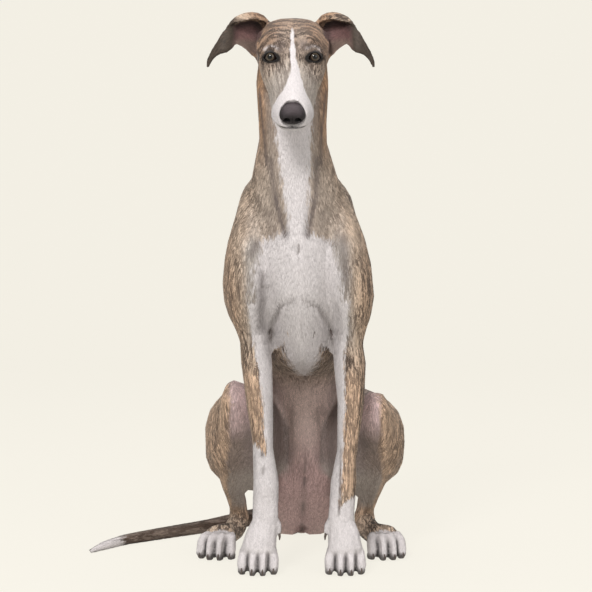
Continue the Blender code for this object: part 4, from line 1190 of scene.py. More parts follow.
class SkinSurface:
    """The finished skin, ready for tufts to be scattered on it."""

    lid_opening: ClassVar[tuple[float, float]] = (0.0135, 0.0095)
    sole: ClassVar[float] = 0.0012

    def __init__(self, skin: Object) -> None:
        """Reads the skin's places, directions and regions once, and leaves out the eyes and the soles.

        Args:
            skin: The finished skin.
        """
        self.skin = skin
        self.points, self.triangles = points_of(skin.data), triangles_of(skin.data)
        self.normals = normals_of(self.points, self.triangles)
        self.area = np.linalg.norm(crosses(self.points, self.triangles), axis=1) / 2.0
        middle = self.points[self.triangles].mean(1)
        self.lay = Lay(STANCE.to_own(middle))
        x, y, z = self.lay.own.T
        wide, tall = self.lid_opening
        near_eye = np.hypot((np.abs(x) - STANCE.eye_x) / wide, (z - STANCE.eye_z) / tall) < 1.0
        self.open = ~((near_eye & (y < 0.0)) | (middle[:, 2] < self.sole))

    def hugged(self, places: Array) -> Array:
        """Finds the nearest places on the skin.

        Args:
            places: World places, in rows.

        Returns:
            A place on the skin for each.
        """
        cloud = bpy.data.meshes.new("cloud")
        cloud.vertices.add(len(places))
        move_to(cloud, places)
        helper = link("cloud", cloud)
        wrap = helper.modifiers.new("Hug", "SHRINKWRAP")
        wrap.target = self.skin
        wrap.wrap_method = "NEAREST_SURFACEPOINT"
        settled(helper)
        held = points_of(helper.data)
        bpy.data.objects.remove(helper, do_unlink=True)
        return held

    def scattered(self, regions: tuple[str, ...], count: int, rng: np.random.Generator) -> tuple:
        """Places spread over the named regions by area.

        Args:
            regions: The regions' names.
            count: How many places.
            rng: The source of chance.

        Returns:
            The places and the skin's directions there.
        """
        inside = np.nonzero(self.lay.within(*regions) & self.open)[0]
        share = np.cumsum(self.area[inside])
        spots = (np.arange(count) + rng.uniform(0.0, 1.0, count)) / count * share[-1]
        chosen = self.triangles[inside[np.searchsorted(share, spots).clip(0, len(inside) - 1)]]
        one, two = rng.uniform(0.0, 1.0, (2, count, 1))
        flip = one + two > 1.0
        one, two = np.where(flip, 1.0 - one, one), np.where(flip, 1.0 - two, two)
        weights = (1.0 - one - two, one, two)
        places = sum(weight * self.points[chosen[:, i]] for i, weight in enumerate(weights))
        ways = sum(weight * self.normals[chosen[:, i]] for i, weight in enumerate(weights))
        return places, unit(ways)


@dataclass(frozen=True)
class Coat:
    """One piece of the coat: which regions it covers, and the size of its tufts.

    Each tuft is a closed sliver of five points: a root under the skin, two sides and a ridge a third of
    the way along, and a tip. It lies along the hair's flow, turned a little at random.
    """

    name: str
    regions: tuple[str, ...]
    count: int
    length: float
    width: float
    lift: float = 0.0010
    root_depth: float = 0.0005
    sway: float = 0.08
    sliver: ClassVar[Array] = np.array(((0, 1, 2), (0, 3, 1), (0, 2, 3), (4, 2, 1), (4, 1, 3), (4, 3, 2)))
    patch: ClassVar[Array] = 0.0015 * np.array(((0, -1.0), (0.9, -0.2), (-0.9, -0.2), (0, 0.1), (0, 1.0)))

    def build(self, skin: SkinSurface, seed: int) -> Object:
        """Grows the piece's tufts on the skin.

        Args:
            skin: The surface that it grows on.
            seed: The number that its random spread starts from.

        Returns:
            The finished piece.
        """
        rng = np.random.default_rng(seed)
        roots, normals = skin.scattered(self.regions, self.count, rng)
        number = len(roots)
        marks = Markings.at(roots, normals)
        flow = marks.lay.flow() + rng.normal(0.0, self.sway, (number, 3))
        along = unit(flow - normals * np.sum(flow * normals, axis=1, keepdims=True))
        side = np.cross(normals, along)
        thin = 1.0 - 0.45 * marks.bare() - 0.35 * marks.dark()
        a = (self.length * rng.uniform(0.75, 1.25, number) * thin)[:, None]
        w = (self.width * rng.uniform(0.75, 1.25, number) * thin)[:, None]
        h = (self.lift * rng.uniform(0.55, 1.15, number) * thin)[:, None]
        middle, tip = np.split(skin.hugged(np.vstack([roots + 0.36 * a * along, roots + a * along])), 2)
        points = np.stack(
            [
                roots - self.root_depth * normals,
                middle + 0.5 * w * side + 0.15 * h * normals,
                middle - 0.5 * w * side + 0.15 * h * normals,
                middle + (0.25 * h + 0.14 * w) * normals,
                tip + h * normals,
            ],
            axis=1,
        ).reshape(-1, 3)
        low, high = (np.array(corner) for corner in CAD_BOX)
        points = np.clip(points, low + (0, 0, 0.0001), high)
        faces = (np.arange(number)[:, None, None] * 5 + self.sliver).reshape(-1, 3)
        mesh = mesh_from(self.name, points, faces)
        self.lay_out(mesh, marks.lay, faces)
        dress(mesh, marks, 5)
        chance = rng.uniform(0.0, 1.0, (number, 1, 1))
        strand = np.zeros((number, 5, 3)) + chance * (7.0, 3.0, 1.0)
        strand[:, :, 0] += w * np.array((0.0, 0.5, -0.5, 0.0, 0.0))
        strand[:, :, 1] += a * np.array((0.0, 0.036, 0.036, 0.036, 0.10))
        store(mesh, "strand", strand.reshape(-1, 3))
        turns = (0.0, 0.45 * side, -0.45 * side, 0.0, 0.2 * along)
        lit = np.stack([normals + turn for turn in turns], axis=1)
        mesh.normals_split_custom_set_from_vertices(unit(lit.reshape(-1, 3)))
        mesh.materials.append(CoatFinish("coat", "strand").material())
        piece = link(self.name, mesh)
        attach(piece, BODY)
        LOG.info("%s: %d tufts", self.name, number)
        return piece

    def lay_out(self, mesh: Mesh, lay: Lay, faces: Array) -> None:
        """Gives each tuft its patch on an unwrap of the skin, round and along each region's line.

        Args:
            mesh: The piece's mesh.
            lay: The roots and their regions.
            faces: The piece's triangles.
        """
        charts = [region for region in REGIONS if region.name in self.regions]
        place = np.full((len(lay.own), 2), 0.5)
        for number, region in enumerate(charts):
            held = lay.within(region.name)
            line = np.array(region.end) - np.array(region.start)
            away = region.folded(lay.own[held]) - np.array(region.start)
            along = np.clip((away @ line / (line @ line) + 0.35) / 1.7, 0.0, 1.0)
            level = unit(np.cross(line, (0.13, 0.17, 1.0)))
            up = unit(np.cross(level, line))
            turn = np.arctan2(away @ up, away @ level) / (2 * math.pi) + 0.5
            twin = (lay.own[held, 0] > 0) * 0.5 if region.paired else 0.0
            across = turn * (0.5 if region.paired else 1.0) + twin
            place[held, 0] = (number + 0.02 + 0.96 * across) / len(charts)
            place[held, 1] = 0.02 + 0.96 * along
        patch = (place[:, None, :] + self.patch).reshape(-1, 2)
        layer = mesh.uv_layers.new(name="OFBake")
        layer.data.foreach_set("uv", np.clip(patch[faces.ravel()], 0.0, 1.0).astype(np.float32).ravel())


COATS = (
    Coat("coat_skull", ("skull",), 31000, 0.0044, 0.0011, 0.0006),
    Coat("coat_face", ("face",), 27000, 0.0040, 0.0009, 0.0005),
    Coat("coat_ears", ("ear", "ear_tip"), 15000, 0.0050, 0.0011, 0.0005),
    Coat("coat_neck", ("neck",), 21000, 0.0110, 0.0020),
    Coat("coat_chest", ("chest",), 31000, 0.0125, 0.0023),
    Coat("coat_shoulders", ("shoulder",), 22000, 0.0115, 0.0021),
    Coat("coat_back", ("loin", "rump"), 22000, 0.0120, 0.0024),
    Coat("coat_forelegs", ("forearm",), 17000, 0.0085, 0.0016, 0.0008),
    Coat("coat_feet", ("front_foot", "hind_foot"), 23000, 0.0048, 0.0012, 0.0006),
    Coat("coat_thighs", ("thigh",), 20000, 0.0115, 0.0022),
    Coat("coat_shanks", ("shank",), 12000, 0.0085, 0.0017, 0.0008),
    Coat("coat_tail", TAIL, 12000, 0.0085, 0.0015, 0.0008),
)


class Nodes:
    """A short way to write a shader: nodes are added by type and joined by name."""

    def __init__(self, tree: Tree) -> None:
        """Starts on a tree of nodes."""
        self.tree = tree

    def add(self, kind: str, settings: dict | None = None, **inputs: object) -> Node:
        """Adds a node.

        Args:
            kind: The node's type, without ShaderNode before it.
            settings: Its own settings.
            **inputs: Values or sockets for its inputs.

        Returns:
            The node.
        """
        node = self.tree.nodes.new("ShaderNode" + kind)
        for name, value in (settings or {}).items():
            setattr(node, name, value)
        return self.feed(node, **inputs)

    def feed(self, node: Node, **inputs: object) -> Node:
        """Feeds a node's inputs from other sockets, or sets their values.

        Args:
            node: The node.
            **inputs: Values or sockets by name, with spaces as underscores, or by number after one.

        Returns:
            The node.
        """
        for name, value in inputs.items():
            socket = node.inputs[int(name[1:]) if name[1:].isdigit() else name.replace("_", " ")]
            if isinstance(value, Socket):
                self.tree.links.new(value, socket)
            else:
                socket.default_value = value
        return node

    def read(self, name: str, output: str = "Vector") -> Socket:
        """What the mesh keeps under a name."""
        return self.add("Attribute", {"attribute_name": name}).outputs[output]

    def math(self, operation: str, one: object, two: object = 0.0, clamp: bool = False) -> Socket:
        """The result of one sum on two numbers."""
        return self.add("Math", {"operation": operation, "use_clamp": clamp}, _0=one, _1=two).outputs[0]

    def ramp(self, value: object, low: float, high: float, to: tuple[float, float] = (0.0, 1.0)) -> object:
        """A smooth rise of a number between two bounds."""
        ends = {"From_Min": low, "From_Max": high, "To_Min": to[0], "To_Max": to[1]}
        return self.add("MapRange", {"interpolation_type": "SMOOTHSTEP"}, Value=value, **ends).outputs[0]

    def blend(self, share: object, one: object, two: object, kind: str = "MIX") -> Socket:
        """A colour between two others, or their product."""
        node = self.add("Mix", {"data_type": "RGBA", "blend_type": kind}, _0=share, _6=one, _7=two)
        return node.outputs[2]

    def shaded(self, colour: object, factor: object) -> Socket:
        """A colour times a number."""
        grey = self.add("CombineXYZ", None, X=factor, Y=factor, Z=factor).outputs[0]
        return self.blend(1.0, colour, grey, "MULTIPLY")

    def noise(self, place: object, scale: float, detail: float = 2.0, rough: float = 0.5) -> Socket:
        """Smooth noise read at a place."""
        node = self.add("TexNoise", None, Vector=place, Scale=scale, Detail=detail, Roughness=rough)
        return node.outputs[0]

    def bump(self, height: object, strength: float, distance: float) -> Socket:
        """The normal of a surface raised by a height."""
        return self.add("Bump", None, Height=height, Strength=strength, Distance=distance).outputs[0]


def group_of(name: str, takes: dict[str, str], gives: tuple[str, ...]) -> tuple[Nodes, Items, Node]:
    """Starts a shader group.

    Args:
        name: The group's name.
        takes: Its inputs' names and kinds.
        gives: Its outputs' names, all numbers.

    Returns:
        A writer on the group, the sockets of what it takes, and the node that gives its outputs.
    """
    tree = bpy.data.node_groups.new(name, "ShaderNodeTree")
    for label, kind in takes.items():
        tree.interface.new_socket(name=label, in_out="INPUT", socket_type="NodeSocket" + kind)
    for label in gives:
        tree.interface.new_socket(name=label, in_out="OUTPUT", socket_type="NodeSocketFloat")
    return Nodes(tree), tree.nodes.new("NodeGroupInput").outputs, tree.nodes.new("NodeGroupOutput")


@functools.cache
def brindle_group() -> Tree:
    """Dark broken stripes: thin lines where broad noise is near its middle, and patches where it is high.

    Returns:
        The group, built once. It gives the dark of the stripes, and flecks.
    """
    nodes, takes, gives = group_of("Brindle", {"Place": "Vector"}, ("Dark", "Flecks"))
    place = takes["Place"]
    broad, fine = nodes.noise(place, 105.0, 2.0, 0.5), nodes.noise(place, 330.0, 2.0, 0.55)
    lines = nodes.ramp(nodes.math("ABSOLUTE", nodes.math("SUBTRACT", broad, 0.5)), 0.060, 0.024)
    both = nodes.math("ADD", nodes.math("MULTIPLY", broad, 0.35), nodes.math("MULTIPLY", fine, 0.65))
    dark = nodes.math("MAXIMUM", lines, nodes.ramp(both, 0.50, 0.55))
    patch = nodes.ramp(nodes.noise(place, 34.0, 1.0), 0.34, 0.62, (0.60, 1.0))
    nodes.feed(gives, Dark=nodes.math("MULTIPLY", dark, patch), Flecks=nodes.noise(place, 700.0, 2.0, 0.6))
    return nodes.tree


@functools.cache
def ragged_group() -> Tree:
    """The edge of the white: its depth, pushed about by noise, then sharpened.

    Returns:
        The group, built once.
    """
    nodes, takes, gives = group_of("Ragged edge", {"Depth": "Float", "Place": "Vector"}, ("White",))
    push = nodes.math("SUBTRACT", nodes.noise(takes["Place"], 260.0, 3.0, 0.65), 0.5)
    depth = nodes.math("ADD", takes["Depth"], nodes.math("MULTIPLY", push, 0.016))
    nodes.feed(gives, White=nodes.ramp(depth, -0.0022, 0.0022))
    return nodes.tree


@functools.cache
def grain_group() -> Tree:
    """The fine grain of short hair: strands and locks, noise at places squeezed along the hair.

    Returns:
        The group, built once. It gives a height and a shade.
    """
    nodes, takes, gives = group_of("Fur grain", {"Place": "Vector"}, ("Height", "Shade"))
    strands = nodes.math("MULTIPLY", nodes.noise(takes["Place"], 1300.0, 2.0, 0.6), 0.6)
    locks = nodes.math("MULTIPLY", nodes.noise(takes["Place"], 230.0, 2.0, 0.5), 0.4)
    both = nodes.math("ADD", strands, locks)
    nodes.feed(gives, Height=both, Shade=nodes.ramp(both, 0.36, 0.64, (0.80, 1.14)))
    return nodes.tree


@dataclass(frozen=True)
class Finish:
    """A finish with a name, whose material is made once and handed out again after that."""

    name: str

    @functools.cache
    def material(self) -> Material:
        """Makes the material.

        Returns:
            The material, the same one for equal finishes.
        """
        material = bpy.data.materials.new(self.name)
        material.use_nodes = True
        self.paint(Nodes(material.node_tree), material.node_tree.nodes["Principled BSDF"])
        return material

    def paint(self, nodes: Nodes, shader: Node) -> None:
        """Feeds the material's shader, in each finish in its own way."""
        raise NotImplementedError


@dataclass(frozen=True)
class CoatFinish(Finish):
    """The finish of skin and tufts alike: tint, brindle, white, painted shade, dark eye rims and fine grain.
    """

    grain_at: str = "hair"
    roughness: float = 0.62
    sheen: float = 0.10

    def paint(self, nodes: Nodes, shader: Node) -> None:
        """Lays tint, stripes, flecks, white, painted shade and black over each other, and the grain over
        all.

        Args:
            nodes: A writer on the material.
            shader: Its shader.
        """
        white, striped, black = nodes.add("SeparateXYZ", None, Vector=nodes.read("masks")).outputs
        brindle = nodes.add("Group", {"node_tree": brindle_group()}, Place=nodes.read("stripe")).outputs
        ragged = nodes.add("Group", {"node_tree": ragged_group()}, Depth=white, Place=nodes.read("hair"))
        grain = nodes.add("Group", {"node_tree": grain_group()}, Place=nodes.read(self.grain_at)).outputs
        dark = nodes.math("MULTIPLY", brindle["Dark"], striped)
        colour = nodes.blend(dark, nodes.read("tint", "Color"), Tone.STRIPE.rgba())
        colour = nodes.shaded(colour, nodes.ramp(brindle["Flecks"], 0.34, 0.66, (0.66, 1.14)))
        colour = nodes.blend(ragged.outputs["White"], colour, Tone.WHITE.rgba())
        uneven = nodes.ramp(brindle["Flecks"], 0.30, 0.62, (0.65, 1.25))
        # Painted shade in the folds, creases and hollows, made uneven by the flecks.
        painted_shade = nodes.math("MULTIPLY", nodes.read("painted_shade", "Fac"), uneven, True)
        colour = nodes.blend(painted_shade, colour, Tone.SOOT.rgba())
        # Black of eye rims, lips and whisker spots, and painted shade in the gaps between the toes.
        colour = nodes.shaded(nodes.blend(black, colour, Tone.BLACK.rgba()), grain["Shade"])
        rough = nodes.ramp(grain["Height"], 0.3, 0.7, (self.roughness + 0.06, self.roughness - 0.08))
        bump = nodes.bump(grain["Height"], 0.45, 0.0006)
        nodes.feed(shader, Base_Color=colour, Roughness=rough, Normal=bump, Sheen_Weight=self.sheen)
        nodes.feed(shader, Sheen_Roughness=0.4, Specular_IOR_Level=0.35)


@dataclass(frozen=True)
class EyeFinish(Finish):
    """A wet eye: black pupil, olive-brown iris with fine spokes, dark edge."""

    name: str = "wet_eye"
    pupil: float = 0.34
    edge: float = 0.62
    ink: tuple[float, ...] = (0.003, 0.003, 0.003, 1.0)

    def paint(self, nodes: Nodes, shader: Node) -> None:
        """Lays iris, pupil and edge over each other by the angle from the gaze, under a clear coat.

        Args:
            nodes: A writer on the material.
            shader: Its shader.
        """
        angle = nodes.read("angle", "Fac")
        spokes = nodes.ramp(nodes.noise(nodes.read("radial"), 26.0, 3.0, 0.7), 0.35, 0.68)
        colour = nodes.blend(spokes, Tone.IRIS.rgba(), Tone.IRIS_SPOKE.rgba())
        depth = nodes.ramp(angle, self.pupil, self.edge - 0.05, (0.35, 1.0))
        colour = nodes.blend(depth, Tone.IRIS_INSIDE.rgba(), colour)
        colour = nodes.blend(nodes.ramp(angle, self.pupil - 0.03, self.pupil + 0.04), self.ink, colour)
        past = nodes.ramp(angle, self.edge - 0.06, self.edge + 0.03)
        nodes.feed(shader, Base_Color=nodes.blend(past, colour, Tone.EYE_EDGE.rgba()), Roughness=0.16)
        nodes.feed(shader, Coat_Weight=1.0, Coat_Roughness=0.02, Coat_IOR=1.45, Specular_IOR_Level=0.08)


@dataclass(frozen=True)
class NoseFinish(Finish):
    """Dark leather with the fine cobbled grain of a dog's nose, with painted shade in its pits and painted
    light on its top.
    """

    name: str = "nose"
    # Painted shade in the nostrils, slits and cleft.
    pit_shade: tuple[float, ...] = (0.003, 0.0025, 0.0025, 1.0)

    def paint(self, nodes: Nodes, shader: Node) -> None:
        """Lays uneven leather, painted light on its top, the grain's grooves and painted shade in the pits
        over each other.

        Args:
            nodes: A writer on the material.
            shader: Its shader.
        """
        place = nodes.add("TexCoord").outputs["Object"]
        cells = nodes.add("TexVoronoi", {"feature": "DISTANCE_TO_EDGE"}, Vector=place, Scale=950.0)
        grain = nodes.ramp(cells.outputs["Distance"], 0.0, 0.16)
        colour = nodes.blend(nodes.noise(place, 160.0, 3.0), Tone.LEATHER.rgba(), Tone.LEATHER_WORN.rgba())
        # Painted light: the leather paler on its top, darker on its lower front as in shade.
        colour = nodes.blend(nodes.read("height", "Fac"), colour, Tone.LEATHER_TOP.rgba())
        colour = nodes.blend(grain, Tone.LEATHER_GROOVE.rgba(), colour)
        colour = nodes.blend(nodes.ramp(nodes.read("pit", "Fac"), 0.10, 0.80), colour, self.pit_shade)
        rough = nodes.ramp(grain, 0.0, 1.0, (0.55, 0.36))
        bump = nodes.bump(grain, 0.5, 0.0003)
        nodes.feed(shader, Base_Color=colour, Roughness=rough, Normal=bump, Specular_IOR_Level=0.30)


@dataclass(frozen=True)
class HornFinish(Finish):
    """The claws' horn: dark, streaked along their length."""

    name: str = "horn"

    def paint(self, nodes: Nodes, shader: Node) -> None:
        """Reads noise at places squeezed along the claws, for colour and gloss.

        Args:
            nodes: A writer on the material.
            shader: Its shader.
        """
        place = nodes.add("TexCoord").outputs["Object"]
        squeezed = nodes.add("Mapping", None, Vector=place, Scale=(1.0, 0.15, 0.3)).outputs[0]
        streaks = nodes.noise(squeezed, 1500.0, 3.0)
        colour = nodes.blend(streaks, Tone.HORN.rgba(), Tone.HORN_STREAK.rgba())
        nodes.feed(shader, Base_Color=colour, Roughness=nodes.ramp(streaks, 0.3, 0.7, (0.30, 0.45)))


@dataclass(frozen=True)
class PaperFinish(Finish):
    """The sweep's pale paper, which glows, and less so in reflections than to the camera."""

    name: str = "paper"
    colour: tuple[float, ...] = (0.104, 0.102, 0.096, 1.0)
    glow: float = 0.912
    dim_glow: float = 0.62

    def paint(self, nodes: Nodes, shader: Node) -> None:
        """Sets a dull surface and the strength of its glow.

        Args:
            nodes: A writer on the material.
            shader: Its shader.
        """
        seen = nodes.add("LightPath").outputs["Is Camera Ray"]
        glow = nodes.ramp(seen, 0.0, 1.0, (self.dim_glow, self.glow))
        nodes.feed(shader, Base_Color=self.colour, Roughness=1.0, Specular_IOR_Level=0.0)
        nodes.feed(shader, Emission_Color=Tone.PAPER.rgba(), Emission_Strength=glow)


def walls(count: int, sides: int, closed: bool) -> Array:
    """The triangles between neighbouring rings of points.

    Args:
        count: How many rings.
        sides: How many points in each.
        closed: If the last ring joins the first.

    Returns:
        Rows of point numbers.
    """
    i, j = np.meshgrid(np.arange(count if closed else count - 1), np.arange(sides), indexing="ij")
    k, n = (j + 1) % sides, (i + 1) % count
    a, b, c, d = i * sides + j, i * sides + k, n * sides + k, n * sides + j
    return np.concatenate([np.stack([a, b, c], -1).reshape(-1, 3), np.stack([a, c, d], -1).reshape(-1, 3)])


def capped(rings: Array) -> tuple[Array, Array]:
    """Joins rings of points into a closed surface that faces out, its ends drawn to their middles.

    Args:
        rings: Places, ring by ring.

    Returns:
        Points and triangles.
    """
    count, sides = rings.shape[:2]
    points = np.vstack([rings.reshape(-1, 3), rings[0].mean(0), rings[-1].mean(0)])
    ring = np.arange(sides)
    after = (ring + 1) % sides
    first = np.stack([np.full(sides, count * sides), after, ring], -1)
    last = np.stack([np.full(sides, count * sides + 1), ring, after], -1)
    last[:, 1:] += (count - 1) * sides
    return points, outward_faces(points, np.concatenate([walls(count, sides, False), first, last]))


def outward_faces(points: Array, faces: Array) -> Array:
    """Turns all faces round if the surface they close holds less than nothing.

    Args:
        points: Places, in rows.
        faces: Rows of point numbers.

    Returns:
        The faces, facing out.
    """
    corners = points[faces] - points.mean(0)
    volume = np.einsum("ij,ij->", corners[:, 0], np.cross(corners[:, 1], corners[:, 2]))
    return faces if volume > 0 else faces[:, ::-1]


@dataclass
class Eye:
    """One eye: a ball with a raised cornea, and the dark lids round it.

    The lids' profile pairs a way out from the opening's edge with a height over the ball.
    """

    side: str
    radius: float = 0.0112
    cornea: float = 0.0004
    opening: tuple[float, float] = (0.0116, 0.0069)
    gaze: Point = (0.17, -0.985, 0.0)
    profile: Rows = (
        (0.0008, -0.0012), (0.0000, 0.0004), (0.0001, 0.0012), (0.0006, 0.0018), (0.0014, 0.0020),
        (0.0024, 0.0018), (0.0036, 0.0013), (0.0050, 0.0006), (0.0066, -0.0006), (0.0060, -0.0030),
    )

    def __post_init__(self) -> None:
        """Finds the solid's middle, the gaze, the level way across it towards +X, and the way up."""
        low, high = (np.array(corner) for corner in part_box("eye_" + self.side))
        self.middle = (low + high) / 2.0
        self.sign = 1.0 if self.side == "left" else -1.0
        self.forward = unit(np.array((self.gaze[0] * self.sign, self.gaze[1], self.gaze[2])))
        self.level = unit(np.cross((0.0, 0.0, 1.0), -self.forward))
        self.up = unit(np.cross(self.forward, self.level) * -1.0)

    def ball(self) -> Object:
        """Makes the eyeball.

        A sphere on angles from its gaze, with a radius that rises over the iris by the cornea's height
        times the cosine of a quarter turn across it.

        Returns:
            The finished piece, which stands for the eye's solid.
        """
        forward, level, up = self.forward, self.level, self.up
        polar = np.linspace(0.0, math.pi, 49)[1:-1]
        around = np.linspace(0.0, 2 * math.pi, 72, endpoint=False)
        bulge = self.cornea * np.cos(np.clip(polar / 0.75, 0.0, 1.0) * math.pi / 2)
        reach = (self.radius - self.cornea + bulge)[:, None, None]
        ways = (
            np.cos(polar)[:, None, None] * forward
            + np.sin(polar)[:, None, None] * (np.cos(around)[:, None] * level + np.sin(around)[:, None] * up)
        )
        points, faces = capped(self.middle + reach * ways)
        mesh = mesh_from("eyeball_" + self.side, points, faces)
        away = unit(points - self.middle)
        store(mesh, "angle", np.arccos(np.clip(away @ forward, -1.0, 1.0)))
        flat = np.stack([away @ level, away @ up, np.zeros(len(away))], axis=1)
        store(mesh, "radial", np.column_stack([unit(flat)[:, :2] * 0.35, away @ forward]))
        mesh.materials.append(EyeFinish().material())
        piece = link("eyeball_" + self.side, mesh)
        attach(piece, BODY)
        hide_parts("eye_" + self.side)
        LOG.info("%s: %d triangles", piece.name, len(faces))
        return piece

    def lids(self) -> Object:
        """Makes the lids: a rolled rim round the almond opening that runs out into the face.

        Across the rim, the height over the ball goes from just inside it, up to the rim's crest, and
        down again into the skin; along the rim it follows the almond, lower towards the nose.

        Returns:
            The finished piece.
        """
        around = np.linspace(0.0, 2 * math.pi, 96, endpoint=False)
        cos, sin = np.cos(around), np.sin(around)
        half_width, half_height = self.opening
        wide = half_width * cos
        tall = half_height * sin * (1.0 - 0.30 * np.abs(cos) ** 3)
        tall -= 0.20 * np.clip(-wide * self.sign, 0.0, None)
        outward = unit(np.stack([cos / half_width, sin / half_height], axis=1))
        rings = []
        for out, over in self.profile:
            crease = 0.0005 * bell(out - 0.0032, 0.0010) * np.clip(sin, 0.0, 1.0)
            x, z = wide + outward[:, 0] * out, tall + outward[:, 1] * out
            deep = np.sqrt(np.maximum((self.radius + over - crease) ** 2 - x**2 - z**2, 1e-8))
            ring = self.middle + deep[:, None] * self.forward
            rings.append(ring + x[:, None] * self.level + z[:, None] * self.up)
        points = np.vstack(rings)
        faces = outward_faces(points, walls(len(rings), len(around), True))
        mesh = mesh_from("lids_" + self.side, points, faces)
        dress(mesh, Markings.at(points, normals_of(points, triangles_of(mesh))))
        mesh.materials.append(CoatFinish("skin").material())
        piece = link("lids_" + self.side, mesh)
        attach(piece, BODY)
        LOG.info("%s: %d triangles", piece.name, len(faces))
        return piece


@dataclass
class Nose:
    """The nose leather: a rounded wedge with a cleft and two comma-shaped nostrils.

    The profile gives, for each share of the way back from the tip, a radius and how far back it lies.
    """

    half_width: float = 0.0200
    half_height: float = 0.0144
    middle: float = -0.0071
    tip: float = 0.1458
    profile: tuple[Point, ...] = (
        (0.0, 0.02, 0.0), (0.20, 0.34, 0.0003), (0.40, 0.64, 0.0014), (0.56, 0.83, 0.0035),
        (0.70, 0.955, 0.0075), (0.82, 0.985, 0.0135), (0.92, 0.91, 0.0220), (1.0, 0.68, 0.0330),
    )

    def build(self) -> Object:
        """Makes the nose.

        The profile goes from the tip out over the rounded edge and back under the skin. The outline is a
        rounded wedge, wider above. The surface then sinks by the depth of nostrils, slits and cleft.

        Returns:
            The finished piece, which stands for the nose's solid.
        """
        knots, radii, backs = zip(*self.profile)
        t = np.linspace(0.0, 1.0, 110)
        radius, back = np.interp(t, knots, radii), np.interp(t, knots, backs)
        kernel = np.ones(9) / 9.0
        radius[4:-4], back[4:-4] = np.convolve(radius, kernel, "valid"), np.convolve(back, kernel, "valid")
        turn = np.linspace(0.0, 2 * math.pi, 160, endpoint=False)
        cos, sin = np.cos(turn), np.sin(turn)
        outline_x = np.sign(sin) * np.abs(sin) ** 0.92 * (1.0 + 0.10 * cos - 0.04 * np.cos(2 * turn))
        across = self.half_width * radius[:, None] * outline_x
        above = self.middle + self.half_height * radius[:, None] * cos
        slope = 0.30 * np.clip(above - self.middle, 0.0, None)
        along = self.tip - back[:, None] - slope - 0.10 * np.clip(self.middle - above, 0.0, None)
        pits = self.pits(across, above)
        along -= pits * step(back, 0.020, 0.008)[:, None]
        head = np.stack([across, along, above], axis=-1)
        rings = STANCE.to_world(HEAD.to_own(head.reshape(-1, 3))).reshape(head.shape)
        points, faces = capped(rings)
        mesh = mesh_from("nose_leather", points, faces)
        # Masks for the painted shade in the pits and the painted light on the top of the leather.
        store(mesh, "pit", np.clip(np.append(pits.ravel(), (0.0, 0.0)) / 0.0045, 0.0, 1.0))
        store(mesh, "height", step(HEAD.to_head(STANCE.to_own(points))[:, 2], -0.002, 0.009))
        mesh.materials.append(NoseFinish().material())
        piece = link("nose_leather", mesh)
        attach(piece, BODY)
        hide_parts("nose")
        LOG.info("nose_leather: %d triangles", len(faces))
        return piece

    def pits(self, across: Array, above: Array) -> Array:
        """How deep the front sinks: round holes, slits that run out and down from them, and a cleft.

        Args:
            across: Places from side to side.
            above: Places up and down.

        Returns:
            The depth at each place.
        """
        aside = np.abs(across)
        hole = np.hypot((aside - 0.0084) / 0.0048, (above + 0.0074) / 0.0040)
        depth = 0.0066 * np.exp(-(hole**4))
        run = np.clip((aside - 0.0085) / 0.0095, 0.0, 1.0)
        slit = bell(above - (-0.0075 - 0.0050 * run**1.4), 0.0015) * step(aside, 0.0075, 0.0095)
        depth += 0.0030 * slit * step(aside, 0.0195, 0.0165)
        depth += 0.0014 * bell(across, 0.0009) * step(above, 0.000, -0.005)
        wing = np.hypot((aside - 0.0115) / 0.0060, (above + 0.0020) / 0.0050)
        return depth - 0.0012 * bell(wing, 1.0)


@dataclass(frozen=True)
class Lamp:
    """A square soft light: where it hangs, what it is aimed at, its side and its power."""

    name: str
    place: Point
    aim: Point
    size: float
    power: float
    colour: Point = (1.0, 0.985, 0.965)

    def hang(self) -> None:
        """Hangs the light: it points down by itself, and is pitched and then turned towards its aim."""
        light = bpy.data.lights.new(self.name, "AREA")
        light.size = self.size
        light.energy = self.power
        light.color = self.colour
        lamp = link(self.name, light)
        way = np.array(self.aim) - np.array(self.place)
        lamp.location = self.place
        pitch = math.atan2(math.hypot(way[0], way[1]), -way[2])
        lamp.rotation_euler = (pitch, 0.0, math.atan2(way[1], way[0]) - math.pi / 2)


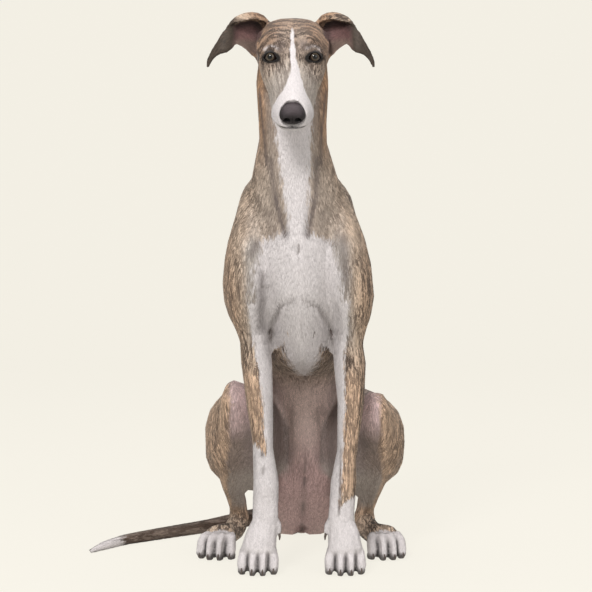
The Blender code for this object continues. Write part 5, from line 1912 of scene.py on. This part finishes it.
@dataclass
class Studio:
    """The pale sweep, the soft lights and the camera."""

    back: float = 3.2
    front: float = -6.0
    half: float = 6.0
    bend: float = 1.6
    height: float = 5.0
    sky: tuple[float, ...] = (1.0, 0.985, 0.955, 1.0)
    sky_strength: float = 0.40
    sensor: float = 36.0
    frame_width: float = 592.0
    lens_pixels: float = 2164.0
    camera_place: Point = (-0.003, -3.5, 0.70)
    camera_tilt: float = 3.91

    def build(self) -> None:
        """Makes all three: a broad key from the front above, a fill, a light over the back, an even sky."""
        self.sweep()
        Lamp("key", (-1.0, -3.6, 3.0), (0.08, -0.05, 0.45), 1.0, 120.0).hang()
        Lamp("fill", (2.4, -3.0, 1.8), (0.08, 0.0, 0.45), 2.4, 32.0).hang()
        Lamp("top", (0.1, 0.2, 3.2), (0.08, 0.0, 0.3), 2.4, 34.0).hang()
        world = bpy.data.worlds.new("studio")
        world.use_nodes = True
        background = world.node_tree.nodes["Background"]
        background.inputs["Color"].default_value = self.sky
        background.inputs["Strength"].default_value = self.sky_strength
        bpy.context.scene.world = world
        bpy.context.scene.view_settings.view_transform = "Standard"
        self.camera()

    def sweep(self) -> None:
        """The floor, which bends up behind the dog in a quarter circle."""
        turn = np.linspace(0.0, math.pi / 2, 24)
        bend_y = self.back + self.bend * np.sin(turn)
        bend_z = self.bend * (1.0 - np.cos(turn))
        y = np.concatenate([[self.front], bend_y, [bend_y[-1]]])
        z = np.concatenate([[0.0], bend_z, [self.height]])
        rows = np.stack([np.stack([np.full(len(y), x), y, z], axis=1) for x in (-self.half, self.half)])
        count = len(y)
        i = np.arange(count - 1)
        faces = np.stack([i, i + count, i + count + 1, i + 1], axis=1)
        mesh = mesh_from("sweep", rows.reshape(-1, 3), faces)
        mesh.materials.append(PaperFinish().material())
        link("sweep", mesh)

    def camera(self) -> None:
        """A long lens in front of the dog at chest height, tipped slightly down."""
        lens = bpy.data.cameras.new("camera")
        lens.sensor_width = self.sensor
        lens.lens = self.sensor * self.lens_pixels / self.frame_width
        lens.clip_end = 60.0
        camera = link("camera", lens)
        camera.location = STANCE.origin() + np.array(self.camera_place)
        camera.rotation_euler = (math.radians(90.0 - self.camera_tilt), 0.0, 0.0)
        bpy.context.scene.camera = camera


def main() -> None:
    """Builds the dog and its studio."""
    logging.basicConfig(level=logging.INFO, format="%(name)s: %(message)s")
    surface = SkinSurface(Skin().build())
    for seed, coat in enumerate(COATS):
        coat.build(surface, seed)
    for side in ("left", "right"):
        eye = Eye(side)
        eye.ball()
        eye.lids()
    Nose().build()
    horn = HornFinish().material()
    for name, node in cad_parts.items():
        if name.startswith("claw_"):
            node.data.materials.clear()
            node.data.materials.append(horn)
            LOG.info("%s: horn", name)
    Studio().build()


if __name__ == "__main__":
    main()
